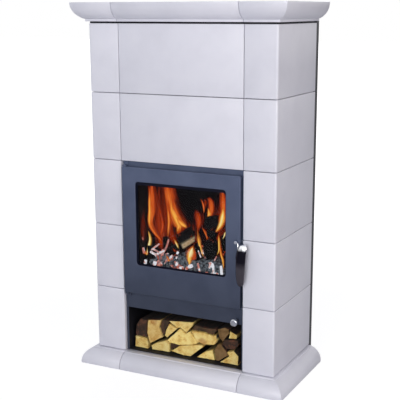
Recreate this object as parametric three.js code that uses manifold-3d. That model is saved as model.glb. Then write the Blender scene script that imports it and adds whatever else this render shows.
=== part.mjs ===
// A tiled stove: glazed stove tiles built round a steel log-burning insert, on a moulded plinth
// and under a moulded cornice, with an open log store below the glazed firebox door.
// Millimetres. X runs across the front, Y from the front to the back, and Z is up.
// The origin lies on the floor, under the middle of the tiled body.
import * as THREE from 'three';
import { mergeVertices } from 'three/addons/utils/BufferGeometryUtils.js';
import Module from 'manifold-3d';

const wasm = await Module();
wasm.setup();

// Running and standing clearances
const seatGap = 0.3; // between pieces that stand against each other
const turnGap = 0.2; // round a pin or spindle that turns in its bore
const roundSides = 24; // facets of a turned piece

// Tiles: 220 mm modules with narrow dry joints
const tileRows = 5;
const openingRows = 3; // rows that the insert's front takes up
const tileHeight = 220;
const tileJoint = 2;
const centreTileWidth = 440;
const cornerFrontLeg = 110;
const cornerSideLeg = 330;
const tileWall = 22;
const tileArris = 6; // rounding of the upright corner

// Mouldings, whose projections are measured from the tile face
const plinthHeight = 55;
const plinthProjection = 45;
const plinthLedge = 10;
const plinthLedgeDrop = 2;
const plinthFoot = 6;
const corniceHeight = 60;
const corniceProjection = 43;
const corniceWall = 25;
const corniceFilletOut = 8;
const corniceFilletHeight = 8;
const corniceStep = 4;
const corniceTopLand = 2;
const mouldingSteps = 9;

// Sheet steel carcass
const rearCasingDepth = 23.7;
const rearCasingInset = 1;
const casingSheet = 2;
const casingTopDrop = 2; // below the top of the cornice
const tileLugHeight = 1.4; // of the lugs that reach into the tile joints
const tileLugReach = 10;
const sideLugInset = 55; // of a side lug from the panel's front and rear ends
const rearLugLength = 14;
const rearLugRows = 2; // upper joints that have a lug of the rear casing too
const basePlate = 4;
const baseWeb = 4;
const baseWebInset = 16; // from the log store's sides
const sidePanelSheet = 3;
const railHeight = 30;
const railLipInset = 20; // from the front tile's ends
const carrierPlate = 5.4;
const carrierInset = 3;
const carrierSideFlange = 60; // inside the tile walls
const carrierEndFlange = 45;
const coverSheet = 2;
const coverDrop = 5; // of the top cover below the cornice's top
const ventCount = 15;
const ventWidth = 9;
const ventPitch = 22;
const ventLength = 100;

// Front plate of the insert
const fasciaRecess = 12; // behind the tile face
const fasciaSheet = 3;
const fasciaMargin = 2;
const nicheHeight = 154; // from the log store's floor to the lower panel
const nicheEdge = 7; // of front plate left beside the log store
const storeSheet = 2;

// Firebox
const mouthSideInset = 10; // inside the door's seal
const mouthTopInset = 15; // below the door's seal
const mouthSill = 54; // above the door's bottom edge
const mouthCorner = 10;
const fireboxSideGap = 12; // from the front plate's sides
const fireboxRearGap = 35; // from the rear of the tiles
const fireboxHeadroom = 165; // below the top of the tiles
const fireboxSheet = 4;
const shoulderDrop = 6; // of the firebox's shoulder below the top of the opening
const domeSetBack = 15; // of the smoke hood behind the front tiles
const shellMouthMargin = 7; // of the shell's mouth round the front plate's
const fireboxFloorGap = 25; // above the log store, for the air slide
const hearthSlab = 24;
const liningHeight = 340;
const rearLiningWall = 30;
const baffleThickness = 20;
const baffleFrontGap = 97;
const grateWidth = 200;
const grateDepth = 140;
const grateThickness = 12;
const grateLedge = 12;
const grateSlots = 9;
const grateSlotWidth = 8;
const grateRim = 14;
const ashPanClearance = 4; // to lift it out through the grate's seat
const ashPanHeight = 50;
const ashPanSheet = 2;
const airPortHalfWidth = 14;
const airPortDepth = 30;
const airPortInset = 90; // from the air knob's rod
const airPortMargin = 4; // to the side of the ash channel
const airPortFromFront = 92;

// The fire: a heap of embers and three charred logs
const emberSideGap = 20; // from the side linings
const emberHeight = 75;
const emberDepth = 200;
const emberSlope = 35;
const emberFromFront = 12;
const charredHalfWidth = 26;
const charredHalfHeight = 36;
const charredX = 72;
const charredFromFront = 38;
const charredLength = 160;
const topLogRadius = 25;
const brokenLogLength = 130;
const brokenLogX = -48;
const brokenLogFromFront = 85;
const brokenLogTurn = 25; // degrees in the plan
const brokenLogOutline = [[-20, 0], [22, 0], [38, 28], [26, 62], [-4, 74], [-34, 50]];

// Flue outlet at the back
const flueOuterRadius = 75;
const flueWall = 3;
const flueFlangeRadius = 90;
const flueFlange = 3;
const flueReach = 45; // behind the rear casing
const flueDrop = 95; // below the top of the firebox
const flueHoleMargin = 6; // of the hood's hole round the flue, inside the flange

// Door
const doorSideGap = 7; // from the corner tiles
const headerStrip = 18; // height of front plate seen above the door
const lowerPanel = 58; // height of front plate seen below the door
const doorProud = 8; // of the tile face
const doorPlate = 5;
const doorEdge = 12;
const doorEdgeWall = 4;
const doorCorner = 6;
const doorStile = 50; // width of each side of the door's frame
const doorTopRail = 48;
const doorBottomRail = 101;
const windowCorner = 11;
const glassOverlap = 10;
const glassThickness = 4;
const gasketThickness = 1.7;
const gasketWidth = 8;
const retainerThickness = 2;
const retainerWidth = 9;
const sealRibHeight = 5;
const sealWidth = 10;
const sealSideInset = 25; // from the door's side edges
const sealEndInset = 12; // from the door's top and bottom edges

// Hinges
const hingeInset = 8; // of the pins from the door's left edge
const hingeBehindFace = 6;
const hingePinRadius = 3;
const hingePinReach = 12; // into the door
const hingeHeadRadius = 5;
const hingeHeadHeight = 2.2;
const hingeTab = 4;
const hingeTabWidth = 14;
const hingeTabFront = 5; // from the pin's centre to the tab's front
const hingeLegSheet = 3;
const hingeLegHeight = 11;
const hingeBossHeight = 14;
const hingeBossWidth = 12;

// Door handle, whose drop is measured from its spindle
const spindleInset = 12; // from the door's right edge
const spindleRise = 223; // above the door's bottom edge
const spindleRadius = 5;
const spindleCollarRadius = 8;
const spindleCollar = 2;
const spindleGrip = 9.6; // length inside the handle's boss
const latchTipGap = 1.5; // from the front plate's side
const latchHalfHeight = 4.5;
const latchThickness = 4;
const latchClearance = 0.5; // behind the door's edge
const strikeHalfHeight = 9;
const strikeWidth = 8;
const bossRadius = 12;
const bossLength = 16;
const leverLength = 142;
const leverHalfWidth = 15.5;
const leverTipHalfWidth = 10;
const leverShift = 25; // of the grip past the spindle, over the tiles
const leverThickness = 7;
const leverStandOff = 36;
const leverTipStandOff = 24;

// Air control
const knobRadius = 12;
const knobLength = 22;
const knobNeck = 8; // of rod showing between the front plate and the knob
const knobInset = 23; // from the front plate's side
const rodRadius = 4;
const rodIntoKnob = 10;
const slidePlate = 3;
const slideDepth = 65;
const slideFromFront = 61.7;
const slideOverlap = 10; // beyond each side of the air port

// Split logs in the store, drawn as end outlines. Each point is measured from the middle of the
// store's floor, and the whole stack is scaled to fill the store up to these gaps.
const logSideGap = 8;
const logHeadroom = 29;
const logSetBack = 25; // of the log ends behind the front plate's face
const logRearGap = 6;
const logOutlines = [
  [[-206, 0.4], [-153, 0.4], [-151, 20], [-160, 40], [-203, 43]],
  [[-203, 43.6], [-160, 40.7], [-157, 70], [-154, 106], [-180, 107], [-198, 86]],
  [[-150.4, 20.4], [-95, 50], [-108, 86], [-99, 114], [-151, 110], [-158, 60]],
  [[-141, 15], [-136, 0.4], [-69, 0.4], [-68, 36], [-80, 42]],
  [[-78.5, 42], [-66, 36.4], [-28, 35], [22, 44.6], [30, 51], [22, 66], [8, 88], [-2, 80], [-35, 90]],
  [[-70, 115], [-35, 91], [-2, 80.8], [19, 110], [25, 125]],
  [[-62, 9], [-13, 0.4], [12, 0.4], [62, 43], [56, 49.8], [22, 43.8], [-27, 34.2], [-43, 20]],
  [[17, 93], [36, 57], [56, 50.2], [105, 56], [115, 75], [114, 94], [108, 114], [64, 109], [27, 115]],
  [[101, 38], [106, 6], [119, 0.4], [158, 29], [129, 61], [113, 58]],
  [[150, 41], [163, 27], [126, 0.4], [192, 0.4], [194, 34], [176, 50]],
];

// Places worked out from the sizes above
const rowPitch = tileHeight + tileJoint;
const openingHalfWidth = centreTileWidth / 2 + tileJoint;
const halfWidth = openingHalfWidth + cornerFrontLeg;
const bodyDepth = cornerSideLeg + seatGap + rearCasingDepth;
const frontY = -bodyDepth / 2;
const backY = bodyDepth / 2;
const tileRearY = frontY + cornerSideLeg;
const tileBase = plinthHeight + tileJoint;
const tileTop = tileBase + tileRows * rowPitch - tileJoint;
const openingTop = tileBase + openingRows * rowPitch;
const corniceBase = tileTop + seatGap + carrierPlate + seatGap;
const corniceTop = corniceBase + corniceHeight;
const innerHalfWidth = halfWidth - tileWall;
const innerFrontY = frontY + tileWall;
const panelOuterX = innerHalfWidth - seatGap;
const fasciaFrontY = frontY + fasciaRecess;
const fasciaBackY = fasciaFrontY + fasciaSheet;
const fasciaHalfWidth = openingHalfWidth - fasciaMargin;

const fireboxFrontY = fasciaBackY + seatGap;
const fireboxBackY = tileRearY - fireboxRearGap;
const fireboxHalfWidth = fasciaHalfWidth - fireboxSideGap;
const fireboxTop = tileTop - fireboxHeadroom;
const flueHeight = fireboxTop - flueDrop;

const storeHalfWidth = fasciaHalfWidth - nicheEdge + 1;
const storeOuterX = storeHalfWidth + storeSheet;
const storeBackY = fireboxBackY - storeSheet;
const storeFloor = tileBase + storeSheet;
const nicheTop = storeFloor + nicheHeight;
const storeTop = nicheTop + storeSheet;
const baseWebOut = storeOuterX - baseWebInset;

const doorWidth = 2 * (openingHalfWidth - doorSideGap);
const doorBottom = nicheTop + lowerPanel;
const doorTop = openingTop - headerStrip;
const doorFrontY = frontY - doorProud;
const doorPanelBackY = doorFrontY + doorPlate;
const doorBackY = doorFrontY + doorEdge;
const windowHalfWidth = doorWidth / 2 - doorStile;
const windowBottom = doorBottom + doorBottomRail;
const windowTop = doorTop - doorTopRail;
const sealOuterX = doorWidth / 2 - sealSideInset;
const sealBottom = doorBottom + sealEndInset;
const sealTop = doorTop - sealEndInset;
const hingeX = -doorWidth / 2 + hingeInset;
const hingeY = doorFrontY + hingeBehindFace;
const spindleX = doorWidth / 2 - spindleInset;
const spindleHeight = doorBottom + spindleRise;
const latchFrontY = doorBackY + latchClearance;
const latchBackY = latchFrontY + latchThickness;

const mouthHalfWidth = sealOuterX - sealWidth - mouthSideInset;
const mouthBottom = doorBottom + mouthSill;
const mouthTop = sealTop - sealWidth - mouthTopInset;
const fireboxSkirt = storeTop + seatGap;
const shoulderZ = openingTop - shoulderDrop;
const hoodBase = shoulderZ - fireboxSheet;
const domeFrontY = innerFrontY + domeSetBack;
const fireboxFloor = storeTop + fireboxFloorGap;
const chamberFloor = fireboxFloor + fireboxSheet;
const chamberHalfWidth = fireboxHalfWidth - fireboxSheet - seatGap;
const chamberFrontY = fireboxFrontY + fireboxSheet + seatGap;
const chamberBackY = fireboxBackY - fireboxSheet - seatGap;
const chamberMidY = (chamberFrontY + chamberBackY) / 2;
const liningBase = mouthBottom + seatGap;
const liningTop = liningBase + liningHeight;

const knobX = fasciaHalfWidth - knobInset;
const slideTop = fireboxFloor - seatGap;
const knobHeight = (storeTop + slideTop - slidePlate) / 2;
const airPortX = knobX - airPortInset;
const ashChannelHalfWidth = airPortX + airPortHalfWidth + airPortMargin;

// Finishes
const finish = (color, roughness, metalness) => ({ color, roughness, metalness });
const glaze = finish(0xdadbe6, 0.25, 0);
const greySteel = finish(0x4a5068, 0.5, 0.6);
const darkSteel = finish(0x3a3a40, 0.6, 0.6);
const castIron = finish(0x2c2c30, 0.8, 0.5);
const fireclay = finish(0x4a4038, 0.95, 0);
const chrome = finish(0xdfe2e8, 0.1, 1);
const glass = finish(0x202428, 0.05, 0);
const ropeSeal = finish(0x3c3a38, 1, 0);
const splitWood = finish(0xd8b060, 0.85, 0);
const charcoal = finish(0x1c1714, 0.95, 0);
const ember = finish(0x6a2a14, 0.95, 0);

const stove = new THREE.Group();

// Adds a finished solid to the stove as a named piece.
function addPiece(name, look, solid) {
  const material = new THREE.MeshStandardMaterial(look);
  const mesh = new THREE.Mesh(geometryOf(solid), material);
  mesh.name = name;
  stove.add(mesh);
}

// Turns a closed geometry into a solid that can be joined and cut.
function solidOf(geometry) {
  const bare = geometry.clone();
  bare.deleteAttribute('normal');
  bare.deleteAttribute('uv');
  const merged = mergeVertices(bare);
  const vertProperties = new Float32Array(merged.attributes.position.array);
  const triVerts = new Uint32Array(merged.index.array);
  return new wasm.Manifold(new wasm.Mesh({ numProp: 3, vertProperties, triVerts }));
}

function geometryOf(solid) {
  const { vertProperties, triVerts } = solid.getMesh();
  const geometry = new THREE.BufferGeometry();
  geometry.setAttribute('position', new THREE.BufferAttribute(vertProperties, 3));
  geometry.setIndex(new THREE.BufferAttribute(triVerts, 1));
  return geometry;
}

// A block between two corners.
function block(x0, x1, y0, y1, z0, z1) {
  const geometry = new THREE.BoxGeometry(x1 - x0, y1 - y0, z1 - z0);
  geometry.translate((x0 + x1) / 2, (y0 + y1) / 2, (z0 + z1) / 2);
  return solidOf(geometry);
}

// A block that is centred across the stove.
function midBlock(half, y0, y1, z0, z1) {
  return block(-half, half, y0, y1, z0, z1);
}

function shapeOf(points) {
  return new THREE.Shape(points.map(([a, b]) => new THREE.Vector2(a, b)));
}

function extrude(shape, depth) {
  return new THREE.ExtrudeGeometry(shape, { depth, bevelEnabled: false, curveSegments: 6 });
}

// An outline in the plan, raised from z0 to z1.
function prismUp(shape, z0, z1) {
  return solidOf(extrude(shape, z1 - z0).translate(0, 0, z0));
}

// An outline seen from the front, as across and up, pushed back from y0 to y1.
function prismBack(shape, y0, y1) {
  const geometry = extrude(shape, y1 - y0);
  geometry.rotateX(Math.PI / 2);
  geometry.translate(0, y1, 0);
  return solidOf(geometry);
}

// An outline seen from the right, as back and up, pushed across from x0 to x1.
function prismAcross(shape, x0, x1) {
  const geometry = extrude(shape, x1 - x0);
  const turn = new THREE.Matrix4().makeBasis(
    new THREE.Vector3(0, 1, 0),
    new THREE.Vector3(0, 0, 1),
    new THREE.Vector3(1, 0, 0),
  );
  geometry.applyMatrix4(turn);
  geometry.translate(x0, 0, 0);
  return solidOf(geometry);
}

function roundedRectangle(x0, x1, z0, z1, radius) {
  const shape = new THREE.Shape();
  shape.moveTo(x0 + radius, z0);
  shape.lineTo(x1 - radius, z0);
  shape.absarc(x1 - radius, z0 + radius, radius, -Math.PI / 2, 0);
  shape.lineTo(x1, z1 - radius);
  shape.absarc(x1 - radius, z1 - radius, radius, 0, Math.PI / 2);
  shape.lineTo(x0 + radius, z1);
  shape.absarc(x0 + radius, z1 - radius, radius, Math.PI / 2, Math.PI);
  shape.lineTo(x0, z0 + radius);
  shape.absarc(x0 + radius, z0 + radius, radius, Math.PI, 1.5 * Math.PI);
  return shape;
}

// A flat frame seen from the front, with its outer edge given and its width measured inwards.
function flatFrame(half, z0, z1, width, radius, y0, y1) {
  const outer = roundedRectangle(-half, half, z0, z1, radius);
  const inner = half - width;
  outer.holes.push(roundedRectangle(-inner, inner, z0 + width, z1 - width, radius / 2));
  return prismBack(outer, y0, y1);
}

// A round bar whose axis runs front to back.
function barBack(x, z, radius, y0, y1) {
  const geometry = new THREE.CylinderGeometry(radius, radius, y1 - y0, roundSides);
  geometry.translate(x, (y0 + y1) / 2, z);
  return solidOf(geometry);
}

// A round bar that stands upright.
function barUp(x, y, radius, z0, z1) {
  const geometry = new THREE.CylinderGeometry(radius, radius, z1 - z0, roundSides);
  geometry.rotateX(Math.PI / 2);
  geometry.translate(x, y, (z0 + z1) / 2);
  return solidOf(geometry);
}

// Points of a round moulding that ends upright: each is the distance out and the height.
function ovolo(fromOut, fromUp, toOut, toUp) {
  const run = toOut - fromOut;
  const rise = toUp - fromUp;
  const radius = (run * run + rise * rise) / (2 * run);
  const startAngle = Math.asin(Math.min(1, Math.abs(rise) / radius));
  const points = [];
  for (let step = 0; step <= mouldingSteps; step += 1) {
    const angle = startAngle * (1 - step / mouldingSteps);
    const out = toOut - radius + radius * Math.cos(angle);
    points.push([out, toUp - Math.sign(rise) * radius * Math.sin(angle)]);
  }
  return points;
}

// Sweeps a moulding's outline along a level path and mitres it at the path's corners.
// The moulding projects to the right of the path's direction.
function moulding(profile, path, base) {
  const legs = path.slice(1).map(([x, y], i) => {
    const length = Math.hypot(x - path[i][0], y - path[i][1]);
    return [(y - path[i][1]) / length, -(x - path[i][0]) / length];
  });
  const vertices = [];
  path.forEach(([x, y], i) => {
    const before = legs[Math.max(i - 1, 0)];
    const after = legs[Math.min(i, legs.length - 1)];
    const share = 1 / (1 + before[0] * after[0] + before[1] * after[1]);
    const outX = (before[0] + after[0]) * share;
    const outY = (before[1] + after[1]) * share;
    profile.forEach(([out, up]) => vertices.push(x + outX * out, y + outY * out, base + up));
  });
  const count = profile.length;
  const indices = [];
  for (let leg = 0; leg < legs.length; leg += 1) {
    for (let i = 0; i < count; i += 1) {
      const a = leg * count + i;
      const b = leg * count + ((i + 1) % count);
      indices.push(a, a + count, b, b, a + count, b + count);
    }
  }
  const last = legs.length * count;
  const contour = profile.map(([out, up]) => new THREE.Vector2(out, up));
  for (const [a, b, c] of THREE.ShapeUtils.triangulateShape(contour, [])) {
    indices.push(a, b, c, last + a, last + c, last + b);
  }
  const geometry = new THREE.BufferGeometry();
  geometry.setAttribute('position', new THREE.Float32BufferAttribute(vertices, 3));
  geometry.setIndex(indices);
  return solidOf(geometry);
}

// The paths of the left, centre and right mouldings, along the tile faces.
const mouldingPaths = {
  left: [[-halfWidth, tileRearY], [-halfWidth, frontY], [-openingHalfWidth, frontY]],
  centre: [[-centreTileWidth / 2, frontY], [centreTileWidth / 2, frontY]],
  right: [[openingHalfWidth, frontY], [halfWidth, frontY], [halfWidth, tileRearY]],
};

function addMouldings(name, profile, base) {
  for (const [place, path] of Object.entries(mouldingPaths)) {
    addPiece(`${name}_${place}`, glaze, moulding(profile, path, base));
  }
}

function plinthProfile() {
  const roundFrom = plinthHeight - plinthLedgeDrop;
  return [
    [-tileWall, 0],
    [-tileWall, plinthHeight],
    [plinthLedge, plinthHeight],
    ...ovolo(plinthLedge, roundFrom, plinthProjection, plinthFoot),
    [plinthProjection, 0],
  ].reverse();
}

function corniceProfile() {
  const roundFrom = corniceFilletHeight + 1;
  return [
    [-corniceWall, 0],
    [corniceFilletOut, 0],
    [corniceFilletOut, corniceFilletHeight],
    ...ovolo(corniceFilletOut + corniceStep, roundFrom, corniceProjection, corniceHeight - corniceTopLand),
    [corniceProjection, corniceHeight],
    [-corniceWall, corniceHeight],
  ];
}

// A corner tile: one shell with a short leg in front and a long leg down the side.
function cornerTile(side, z0) {
  const shape = new THREE.Shape();
  shape.moveTo(side * openingHalfWidth, frontY);
  shape.lineTo(side * (halfWidth - tileArris), frontY);
  const startAngle = -Math.PI / 2;
  const endAngle = side > 0 ? 0 : -Math.PI;
  const arrisX = side * (halfWidth - tileArris);
  shape.absarc(arrisX, frontY + tileArris, tileArris, startAngle, endAngle, side < 0);
  shape.lineTo(side * halfWidth, tileRearY);
  shape.lineTo(side * innerHalfWidth, tileRearY);
  shape.lineTo(side * innerHalfWidth, innerFrontY);
  shape.lineTo(side * openingHalfWidth, innerFrontY);
  return prismUp(shape, z0, z0 + tileHeight);
}

function addTiles() {
  for (let row = 0; row < tileRows; row += 1) {
    const z0 = tileBase + row * rowPitch;
    addPiece(`corner_tile_left_${row + 1}`, glaze, cornerTile(-1, z0));
    addPiece(`corner_tile_right_${row + 1}`, glaze, cornerTile(1, z0));
  }
  for (let row = openingRows; row < tileRows; row += 1) {
    const z0 = tileBase + row * rowPitch;
    const tile = midBlock(centreTileWidth / 2, frontY, innerFrontY, z0, z0 + tileHeight);
    addPiece(`front_tile_${row - openingRows + 1}`, glaze, tile);
  }
}

// Height of the lugs that reach into the joint under a row of tiles.
function lugBase(row) {
  return tileBase + row * rowPitch - (tileJoint + tileLugHeight) / 2;
}

// A block on one side of the stove, given by its distances from the middle.
function sideBlock(side, near, far, y0, y1, z0, z1) {
  return side < 0 ? block(-far, -near, y0, y1, z0, z1) : block(near, far, y0, y1, z0, z1);
}

// The carcass: a base plate with webs for the log store, and side panels with lugs for the tiles.
function addCarcass() {
  const y0 = innerFrontY + seatGap;
  const webTop = tileBase - seatGap;
  let carcass = midBlock(panelOuterX, y0, tileRearY, 0, basePlate);
  for (const x of [-baseWebOut, baseWebOut]) {
    carcass = carcass.add(block(x - baseWeb / 2, x + baseWeb / 2, y0, tileRearY, basePlate - 1, webTop));
  }
  for (const y of [y0, fireboxBackY - baseWeb]) {
    carcass = carcass.add(midBlock(baseWebOut, y, y + baseWeb, basePlate - 1, webTop));
  }
  for (const side of [-1, 1]) {
    const inner = panelOuterX - sidePanelSheet;
    carcass = carcass.add(sideBlock(side, inner, panelOuterX, y0, tileRearY, basePlate - 1, tileTop));
    for (let row = 0; row < tileRows; row += 1) {
      const z0 = lugBase(row);
      const tip = innerHalfWidth + tileLugReach;
      const lugFront = y0 + sideLugInset;
      const lugBack = tileRearY - sideLugInset;
      carcass = carcass.add(sideBlock(side, inner, tip, lugFront, lugBack, z0, z0 + tileLugHeight));
    }
  }
  for (let row = openingRows + 1; row < tileRows; row += 1) {
    const z0 = lugBase(row);
    const railBase = z0 - railHeight / 2;
    carcass = carcass.add(midBlock(panelOuterX, y0, y0 + sidePanelSheet, railBase, railBase + railHeight));
    const lipFront = innerFrontY - tileLugReach;
    const lipHalf = centreTileWidth / 2 - railLipInset;
    carcass = carcass.add(midBlock(lipHalf, lipFront, y0 + 1, z0, z0 + tileLugHeight));
  }
  addPiece('carcass', darkSteel, carcass);
}

// The rear casing: a shallow pan with a hole for the flue and lugs that reach into the tile joints.
function addRearCasing() {
  const half = halfWidth - rearCasingInset;
  const y0 = tileRearY + seatGap;
  const top = corniceTop - casingTopDrop;
  let pan = midBlock(half, y0, backY, 0, top);
  const inside = half - casingSheet;
  pan = pan.subtract(midBlock(inside, y0 - 1, backY - casingSheet, casingSheet, top - casingSheet));
  pan = pan.subtract(barBack(0, flueHeight, flueOuterRadius + 1, y0, backY + 1));
  for (let row = tileRows - rearLugRows; row < tileRows; row += 1) {
    const z0 = lugBase(row);
    for (const side of [-1, 1]) {
      pan = pan.add(sideBlock(side, inside, half, y0 - rearLugLength, y0 + 1, z0, z0 + tileLugHeight));
    }
  }
  addPiece('rear_casing', darkSteel, pan);
}

// The carrier plate: a flat steel frame on top of the tiles that carries the cornice.
function addCarrierPlate() {
  const z0 = tileTop + seatGap;
  const z1 = z0 + carrierPlate;
  const plate = midBlock(halfWidth - carrierInset, frontY + carrierInset, tileRearY, z0, z1);
  const openingHalf = innerHalfWidth - carrierSideFlange;
  const openingFront = innerFrontY + carrierEndFlange;
  const openingBack = tileRearY - carrierEndFlange;
  const opening = midBlock(openingHalf, openingFront, openingBack, z0 - 1, z1 + 1);
  addPiece('carrier_plate', darkSteel, plate.subtract(opening));
}

// The top cover: a folded lid inside the cornice with a field of warm-air slots.
function addTopCover() {
  const half = halfWidth - corniceWall - seatGap;
  const y0 = frontY + corniceWall + seatGap;
  const top = corniceTop - coverDrop;
  const lid = midBlock(half, y0, tileRearY, corniceBase, top);
  const hollow = midBlock(
    half - coverSheet,
    y0 + coverSheet,
    tileRearY - coverSheet,
    corniceBase - 1,
    top - coverSheet,
  );
  let cover = lid.subtract(hollow);
  const firstVent = -((ventCount - 1) * ventPitch + ventWidth) / 2;
  const slotBase = top - coverSheet - 1;
  for (let vent = 0; vent < ventCount; vent += 1) {
    const x = firstVent + vent * ventPitch;
    cover = cover.subtract(block(x, x + ventWidth, -ventLength / 2, ventLength / 2, slotBase, top + 1));
  }
  addPiece('top_cover', darkSteel, cover);
}

function mouthShape() {
  return roundedRectangle(-mouthHalfWidth, mouthHalfWidth, mouthBottom, mouthTop, mouthCorner);
}

// The front plate: it frames the firebox mouth and stands on two legs beside the log store.
// A strike pad on it meets the latch tongue.
function addFrontFascia() {
  const z0 = tileBase + seatGap;
  const z1 = openingTop - seatGap;
  let plate = midBlock(fasciaHalfWidth, fasciaFrontY, fasciaBackY, z0, z1);
  plate = plate.subtract(prismBack(mouthShape(), fasciaFrontY - 1, fasciaBackY + 1));
  const nicheHalf = fasciaHalfWidth - nicheEdge;
  plate = plate.subtract(midBlock(nicheHalf, fasciaFrontY - 1, fasciaBackY + 1, z0 - 1, nicheTop));
  plate = plate.subtract(barBack(knobX, knobHeight, rodRadius + turnGap, fasciaFrontY - 1, fasciaBackY + 1));
  const strikeX = fasciaHalfWidth - seatGap;
  plate = plate.add(block(
    strikeX - strikeWidth,
    strikeX,
    latchBackY + seatGap,
    fasciaFrontY + 1,
    spindleHeight - strikeHalfHeight,
    spindleHeight + strikeHalfHeight,
  ));
  addPiece('front_fascia', greySteel, plate);
}

// The log store: a sheet box that is open in front.
function addLogStore() {
  const y0 = fireboxFrontY;
  const box = midBlock(storeOuterX, y0, fireboxBackY, tileBase, storeTop);
  const inside = midBlock(storeHalfWidth, y0 - 1, storeBackY, storeFloor, nicheTop);
  addPiece('log_store', darkSteel, box.subtract(inside));
}

// The firebox: an open-topped box of steel plate on an air box, with a smoke hood welded over it.
// Its mouth is larger than the front plate's, which covers it.
function addFireboxShell() {
  const inner = fireboxHalfWidth - fireboxSheet;
  const y0 = fireboxFrontY;
  const y1 = fireboxBackY;
  const innerBackY = y1 - fireboxSheet;
  const plateBackY = y0 + fireboxSheet;
  let shell = midBlock(fireboxHalfWidth, y0, y1, fireboxFloor, hoodBase - seatGap);
  shell = shell.subtract(midBlock(inner, plateBackY, innerBackY, chamberFloor, hoodBase + 1));
  const mouthHalf = mouthHalfWidth + shellMouthMargin;
  const mouthLid = mouthTop + shellMouthMargin;
  shell = shell.subtract(midBlock(mouthHalf, y0 - 1, plateBackY + 1, mouthBottom, mouthLid));
  const portY = y0 + airPortFromFront;
  shell = shell.subtract(block(
    airPortX - airPortHalfWidth,
    airPortX + airPortHalfWidth,
    portY,
    portY + airPortDepth,
    fireboxFloor - 1,
    chamberFloor + 1,
  ));
  addPiece('firebox_shell', darkSteel, shell);
}

// The air box: two sides and a back that hold the firebox above the log store.
function addAirBox() {
  const inner = fireboxHalfWidth - fireboxSheet;
  const y0 = fireboxFrontY;
  const y1 = fireboxBackY;
  const z1 = fireboxFloor - seatGap;
  let frame = midBlock(fireboxHalfWidth, y0, y1, fireboxSkirt, z1);
  frame = frame.subtract(midBlock(inner, y0 - 1, y1 - fireboxSheet, fireboxSkirt - 1, z1 + 1));
  addPiece('air_box', darkSteel, frame);
}

// The smoke hood: its front steps back behind the front tiles, and the flue leaves through its back.
function addSmokeHood() {
  const inner = fireboxHalfWidth - fireboxSheet;
  const y1 = fireboxBackY;
  const innerBackY = y1 - fireboxSheet;
  let hood = midBlock(fireboxHalfWidth, fireboxFrontY, y1, hoodBase, shoulderZ);
  hood = hood.add(midBlock(fireboxHalfWidth, domeFrontY, y1, shoulderZ - 1, fireboxTop));
  const innerFront = domeFrontY + fireboxSheet;
  const innerTop = fireboxTop - fireboxSheet;
  hood = hood.subtract(midBlock(inner, innerFront, innerBackY, hoodBase - 1, innerTop));
  const holeRadius = flueOuterRadius + flueHoleMargin;
  hood = hood.subtract(barBack(0, flueHeight, holeRadius, innerBackY - 1, y1 + 1));
  addPiece('smoke_hood', darkSteel, hood);
}

// The hearth: a fireclay slab on two cheeks, with a channel for the ash pan and a seat for the grate.
function addHearth() {
  const half = chamberHalfWidth;
  let slab = midBlock(half, chamberFrontY, chamberBackY, chamberFloor + seatGap, mouthBottom);
  const channelTop = mouthBottom - hearthSlab;
  slab = slab.subtract(midBlock(
    ashChannelHalfWidth,
    chamberFrontY - 1,
    chamberBackY + 1,
    chamberFloor,
    channelTop,
  ));
  const seatHalf = grateWidth / 2 + seatGap;
  const seatDepth = grateDepth / 2 + seatGap;
  const seatBase = mouthBottom - grateThickness - seatGap;
  slab = slab.subtract(midBlock(
    seatHalf,
    chamberMidY - seatDepth,
    chamberMidY + seatDepth,
    seatBase,
    mouthBottom + 1,
  ));
  const throughHalf = grateWidth / 2 - grateLedge;
  const throughDepth = grateDepth / 2 - grateLedge;
  slab = slab.subtract(midBlock(
    throughHalf,
    chamberMidY - throughDepth,
    chamberMidY + throughDepth,
    channelTop - 1,
    mouthBottom,
  ));
  addPiece('hearth_slab', fireclay, slab);
}

function addGrate() {
  const z0 = mouthBottom - grateThickness;
  const reach = grateDepth / 2;
  let grate = midBlock(grateWidth / 2, chamberMidY - reach, chamberMidY + reach, z0, mouthBottom);
  const field = grateWidth - 2 * grateRim - grateSlotWidth;
  const slotReach = reach - grateRim;
  for (let slot = 0; slot < grateSlots; slot += 1) {
    const x = -field / 2 + (slot * field) / (grateSlots - 1);
    grate = grate.subtract(block(
      x - grateSlotWidth / 2,
      x + grateSlotWidth / 2,
      chamberMidY - slotReach,
      chamberMidY + slotReach,
      z0 - 1,
      mouthBottom + 1,
    ));
  }
  addPiece('grate', castIron, grate);
}

function addAshPan() {
  const half = grateWidth / 2 - grateLedge - ashPanClearance;
  const reach = grateDepth / 2 - grateLedge - ashPanClearance;
  const y0 = chamberMidY - reach;
  const y1 = chamberMidY + reach;
  const z0 = chamberFloor + seatGap;
  const pan = midBlock(half, y0, y1, z0, z0 + ashPanHeight);
  const inside = half - ashPanSheet;
  const floor = z0 + ashPanSheet;
  const hollow = midBlock(inside, y0 + ashPanSheet, y1 - ashPanSheet, floor, z0 + ashPanHeight + 1);
  addPiece('ash_pan', darkSteel, pan.subtract(hollow));
}

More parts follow.
